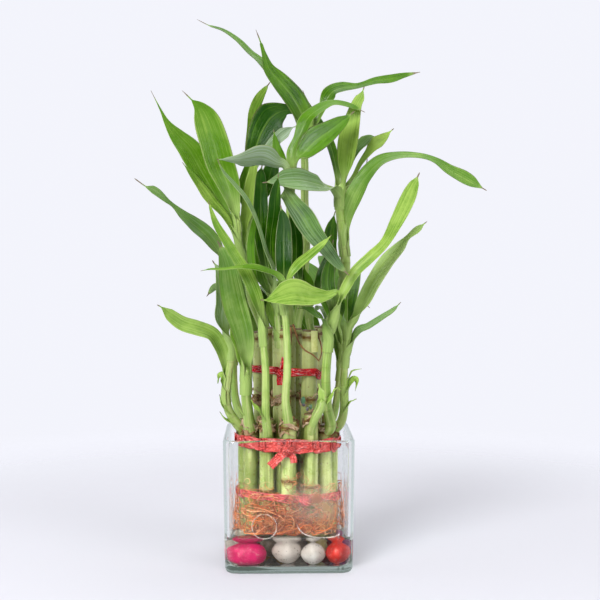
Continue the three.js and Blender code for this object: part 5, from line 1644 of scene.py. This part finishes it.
def makeRoots(plan):
    chance = random.Random(plan["seed"])
    strands = []
    for side, angles, heights, deep, count, lengths, dark in plan["mats"]:
        for i in range(count):
            line = rootLine(side, angles, heights, deep, lengths, plan, chance)
            thick = mixed(*plan["girth"], chance.random() ** 1.7) * (0.6 if deep < plan["shallow"] else 1.0)
            seed = chance.random() * 50
            shade = dark * (0.5 + 0.5 * chance.random())
            strands.append(tubeRows(line, lambda share, spot: thick * mixed(1, 0.45, share), shade, seed))
    piece = growPiece("roots_look", strands, tubeTree, plan["tube"], makeRootMaterial(rootLook), 3)
    settle(piece, "root", "roots")


makeRoots(rootPlan)
print("roots ready")


# Dry sheath scraps and fine fibres left round the nodes of the canes, and the tendrils of the cut shoots

scrapPlan = {
    "seed": 412, "count": 11, "fibres": 18, "innerNode": 104.0,
    "outer": {"from": 5.0, "to": -5.0, "width": (1.4, 5.4)},  # heights round the top node
    "inner": {"from": 4.5, "to": -5.0, "width": (1.4, 5.0)},
    "tendrils": [  # spots, thickness at the start and at the end
        ([(2.7, -21.8, 150), (4.6, -22.4, 144), (6.6, -22.6, 138.4), (10.1, -22.6, 134), (15, -21.8, 131),
          (18.9, -19.2, 127)], 0.62, 0.4),
        ([(17.4, -16.2, 146.6), (18.7, -15.6, 141.7), (20.0, -15.0, 137.3), (20.6, -15.2, 132.3),
          (19.2, -16.6, 127.5)], 0.55, 0.35),
        ([(1.2, -20.6, 148), (1.6, -21.4, 142.6), (1.4, -21.2, 137)], 0.8, 0.3),
    ],
    "bud": [(15.9, -17.6, 145.6), (15.9, -18.3, 139), (16.2, -18.0, 132.4)],
    "budWidth": 4.4,
    "wax": [  # spot and size
        (8.9, -22.4, 103.2, 1.5), (9.4, -23.2, 100.8, 0.9), (13.6, -22.4, 99.0, 1.1),
        (11.6, -23.6, 98.2, 0.9),
    ],
    "paperBlade": {
        "Around": 8, "Thickness": 0.0003, "Ripple": 1.2, "Ripple Size": 300.0, "Crumple": 0.0012,
        "Crumple Size": 500.0,
    },
    "fibreTube": {"Sides": 6, "Bump": 0.0001, "Bump Size": 600.0},
    "budBlade": {"Around": 14, "Thickness": 0.0012, "Ripple": 0.1},
}


def makePaperMaterial():
    material = startMaterial("drySheath")
    lines = fibreLines(sectionParts()[0], 5.0, 160.0)
    base = mixColour(ramp(seedNoise(5.0), 0.35, 0.65), rgb(228, 200, 166), rgb(170, 122, 86))
    base = mixColour(mottle(260.0, 0.35, 0.65) * 0.5, base, rgb(104, 70, 46))
    base = mixColour(lines * 0.35, base, rgb(226, 204, 164))
    return endMaterial(material, {"Base Color": base, "Roughness": 0.7, "Normal": bumps(lines, 0.6, 0.0004)})


def scrapRows(cane, z, turn, sweep, width, lift, flare, seed):  # a torn strip that lies round a cane
    points = []
    for k in range(6):
        share = k / 5
        away = cane["radius"] + lift + flare * abs(share - 0.45) ** 2 * 4
        height = z + 1.6 * math.sin(share * 5 + seed)
        points.append(caneAt(cane, height) + outwards(turn + sweep * share) * away)
    line = smoothPath(points, 4)
    rows = []
    for i, (spot, tangent, reach) in enumerate(zip(line, tangentsAlong(line), lengthsAlong(line))):
        face = squareTo(tangent, flat(spot - caneAt(cane, spot.z)) + Vector((0, 0, 0.01)))
        torn = width * (0.55 + 0.6 * noise.noise(spot * 0.5 + Vector((seed, 0, 0))))
        torn *= math.sin(math.pi * mixed(0.06, 0.94, i / (len(line) - 1)))
        rows.append(ribbonRow(spot, tangent, face, max(0.4, torn), reach, seed))
    return rows


def fibreRows(cane, z, chance):  # a dry thread that curls away from a node
    turn = chance.random() * 2 * math.pi
    drift = (chance.random() - 0.5) * 2.4
    rise = (chance.random() - 0.6) * 8
    points = []
    for k in range(5):
        share = k / 4
        away = cane["radius"] + 0.4 + 1.6 * share * chance.random()
        height = z + rise * share + 2 * (chance.random() - 0.5)
        points.append(caneAt(cane, height) + outwards(turn + drift * share) * away)
    thick = mixed(0.12, 0.26, chance.random())
    return tubeRows(smoothPath(points, 4), lambda share, spot: thick, 1.0, turn)


def makeScraps(plan):
    chance = random.Random(plan["seed"])
    strips, threads = [], []
    for name, cane in canes.items():
        if name == "inner_7":
            continue
        kind = plan[name[:5]]
        top = cane["head"].z - canePlan["topNode"] if name.startswith("outer") else plan["innerNode"]
        for i in range(plan["count"]):
            z = top + mixed(kind["from"], kind["to"], chance.random())
            sweep = mixed(0.8, 2.6, chance.random())
            turn = chance.random() * 2 * math.pi
            width = mixed(*kind["width"], chance.random())
            lift, flare = 0.55 + 0.5 * chance.random(), 1.5 * chance.random()
            strips.append(scrapRows(cane, z, turn, sweep, width, lift, flare, chance.random() * 40))
        threads += [fibreRows(cane, top, chance) for i in range(plan["fibres"])]
    for points, thick, thin in plan["tendrils"]:
        line = smoothPath([Vector(point) for point in points], 8)
        threads.append(tubeRows(line, lambda share, spot: mixed(thick, thin, share), 1.0, 4.0))
    paper = growPiece("paper", strips, bladeTree, plan["paperBlade"], makePaperMaterial())
    fibreSkin = plainMaterial("dryFibre", (200.0, 0.35, 0.65), rgb(150, 104, 60), rgb(92, 58, 34), 0.6)
    fibres = growPiece("fibres", threads, tubeTree, plan["fibreTube"], fibreSkin, 2)
    budSkin = plainMaterial("shavedBud", (160.0, 0.4, 0.7), rgb(226, 228, 158), rgb(196, 200, 112), 0.45)
    strip = stripRows(plan["bud"], Vector((0.25, -1, 0)), plan["budWidth"], 2.0)
    bud = growPiece("bud", [strip], bladeTree, plan["budBlade"], budSkin)
    settle(joinPieces([paper, fibres, bud], "sheath_scraps"), "cane")


def makeWax(plan):  # drips of coloured wax on a cut cane
    shape = bmesh.new()
    for x, y, z, size in plan["wax"]:
        spread = Matrix.Diagonal((size * mm, size * mm * 0.7, size * mm * 1.5, 1))
        place = Matrix.Translation(Vector((x, y, z)) * mm) @ spread
        bmesh.ops.create_icosphere(shape, subdivisions=3, radius=1, matrix=place)
    for vert in shape.verts:
        vert.co += Vector((1, 1, 1)) * 0.0005 * noise.noise(vert.co * 500)
    drips = keepMesh("wax_drips", shape)
    skin = plainMaterial("colouredWax", (230.0, 0.4, 0.6), rgb(84, 132, 92), rgb(112, 104, 112), 0.3)
    drips.data.materials.append(skin)
    settle(drips, "cane")


makeScraps(scrapPlan)
makeWax(scrapPlan)
print("dry scraps and wax ready")


# Wet marks: beads of damp on the inside of the glass, and the rims of two flat bubbles at the water's edge

wetPlan = {
    "low": 24.5, "high": 78.0, "perSide": 130, "seed": 5, "sizes": (0.12, 0.5), "spread": 31.0,
    "bead": {"Flatness": 0.45}, "beadOffGlass": 0.22, "rimTube": {"Sides": 10, "Bump": 0.0},
    "leftBubble": {"middle": (-14.8, 28.6), "radius": 7.5, "steps": 48},
    "rightBubble": [(4.6, 30), (6.6, 26.4), (10.6, 23.4), (17.5, 21.9), (24.8, 21.9), (30.6, 23.6)],
    "rim": 0.45, "leftRim": 0.65, "offGlass": 0.3,
}


def makeClearWater(name):
    material = startMaterial(name)
    return endMaterial(material, {
        "Base Color": mixColour(grain(objectSpot(), 200.0), rgb(250, 248, 246), rgb(238, 240, 244)),
        "Roughness": 0.02, "Metallic": 0.0, "Transmission Weight": 1.0, "IOR": 1.33,
    }, Surface=passShadow(baseShader(), (0.95, 0.95, 0.95, 1.0)))


def makeRimMaterial():  # the pale line where a bubble touches the glass: a painted highlight, a half-clear pale tube for the bright line light makes at its edge
    material = startMaterial("bubbleRim")
    uneven = grain(objectSpot(), 300.0)
    return endMaterial(material, {
        "Base Color": mixColour(uneven, rgb(236, 228, 222), rgb(196, 180, 168)),
        "Alpha": ramp(uneven, 0.35, 0.65, 0.12, 0.55), "Roughness": 0.12,
    })


def makeBeadTree():  # flat beads on the points of a mesh, each of its own size and facing its own way
    given = startGroup("damp", "GeometryNodeTree", {"Geometry": None, "Flatness": 0.5, "Material": None})
    bead = addNode("GeometryNodeMeshIcoSphere", {"Radius": 1.0, "Subdivisions": 2})
    bead = addNode("GeometryNodeSetShadeSmooth", {"Geometry": bead})
    turn = addNode("FunctionNodeAlignRotationToVector", {"Vector": named("face", "FLOAT_VECTOR")}, axis="Z")
    size = named("girth")
    return endPiece(addNode("GeometryNodeInstanceOnPoints", {
        "Points": given["Geometry"], "Instance": bead, "Rotation": turn,
        "Scale": combined(size, size, size * given["Flatness"]),
    }), given["Material"])


def makeBeads(plan):
    chance = random.Random(plan["seed"])
    strands = []
    for side in range(4):
        turned = quarterTurn(side)
        for i in range(plan["perSide"]):
            z = mixed(plan["low"], plan["high"], chance.random() ** 1.7)
            across = mixed(-1, 1, chance.random())
            across = math.copysign(abs(across) ** 0.5, across) * plan["spread"]
            girth = mixed(*plan["sizes"], chance.random() ** 2)
            spot = turned @ Vector((across, -innerHalf(z) + plan["beadOffGlass"], z))
            strands.append([{"spot": spot, "girth": girth * mm, "face": turned @ Vector((0, 1, 0))}])
    settle(growPiece("damp", strands, makeBeadTree(), plan["bead"], makeClearWater("dampBeads")), "water")


def makeBubbleRims(plan):
    def onGlass(x, z):
        return Vector((x, -innerHalf(z) + plan["offGlass"], z))

    (x, z), radius, steps = plan["leftBubble"].values()
    turns = [2 * math.pi * k / steps for k in range(steps + 1)]
    circle = [onGlass(x + radius * math.cos(turn), z + radius * math.sin(turn)) for turn in turns]
    arc = smoothPath([onGlass(*spot) for spot in plan["rightBubble"]], 8)
    rims = []
    for line, rim in ((circle, plan["rim"] * plan["leftRim"]), (arc, plan["rim"])):
        rims.append(tubeRows(
            line, lambda share, spot: rim * mixed(1.0, 0.55, smoothStep((spot.z - 24) / 12)), 1.0, 1.0,
        ))
    settle(growPiece("bubble_rims", rims, tubeTree, plan["rimTube"], makeRimMaterial()), "water")


makeBeads(wetPlan)
makeBubbleRims(wetPlan)
print("wet marks ready")
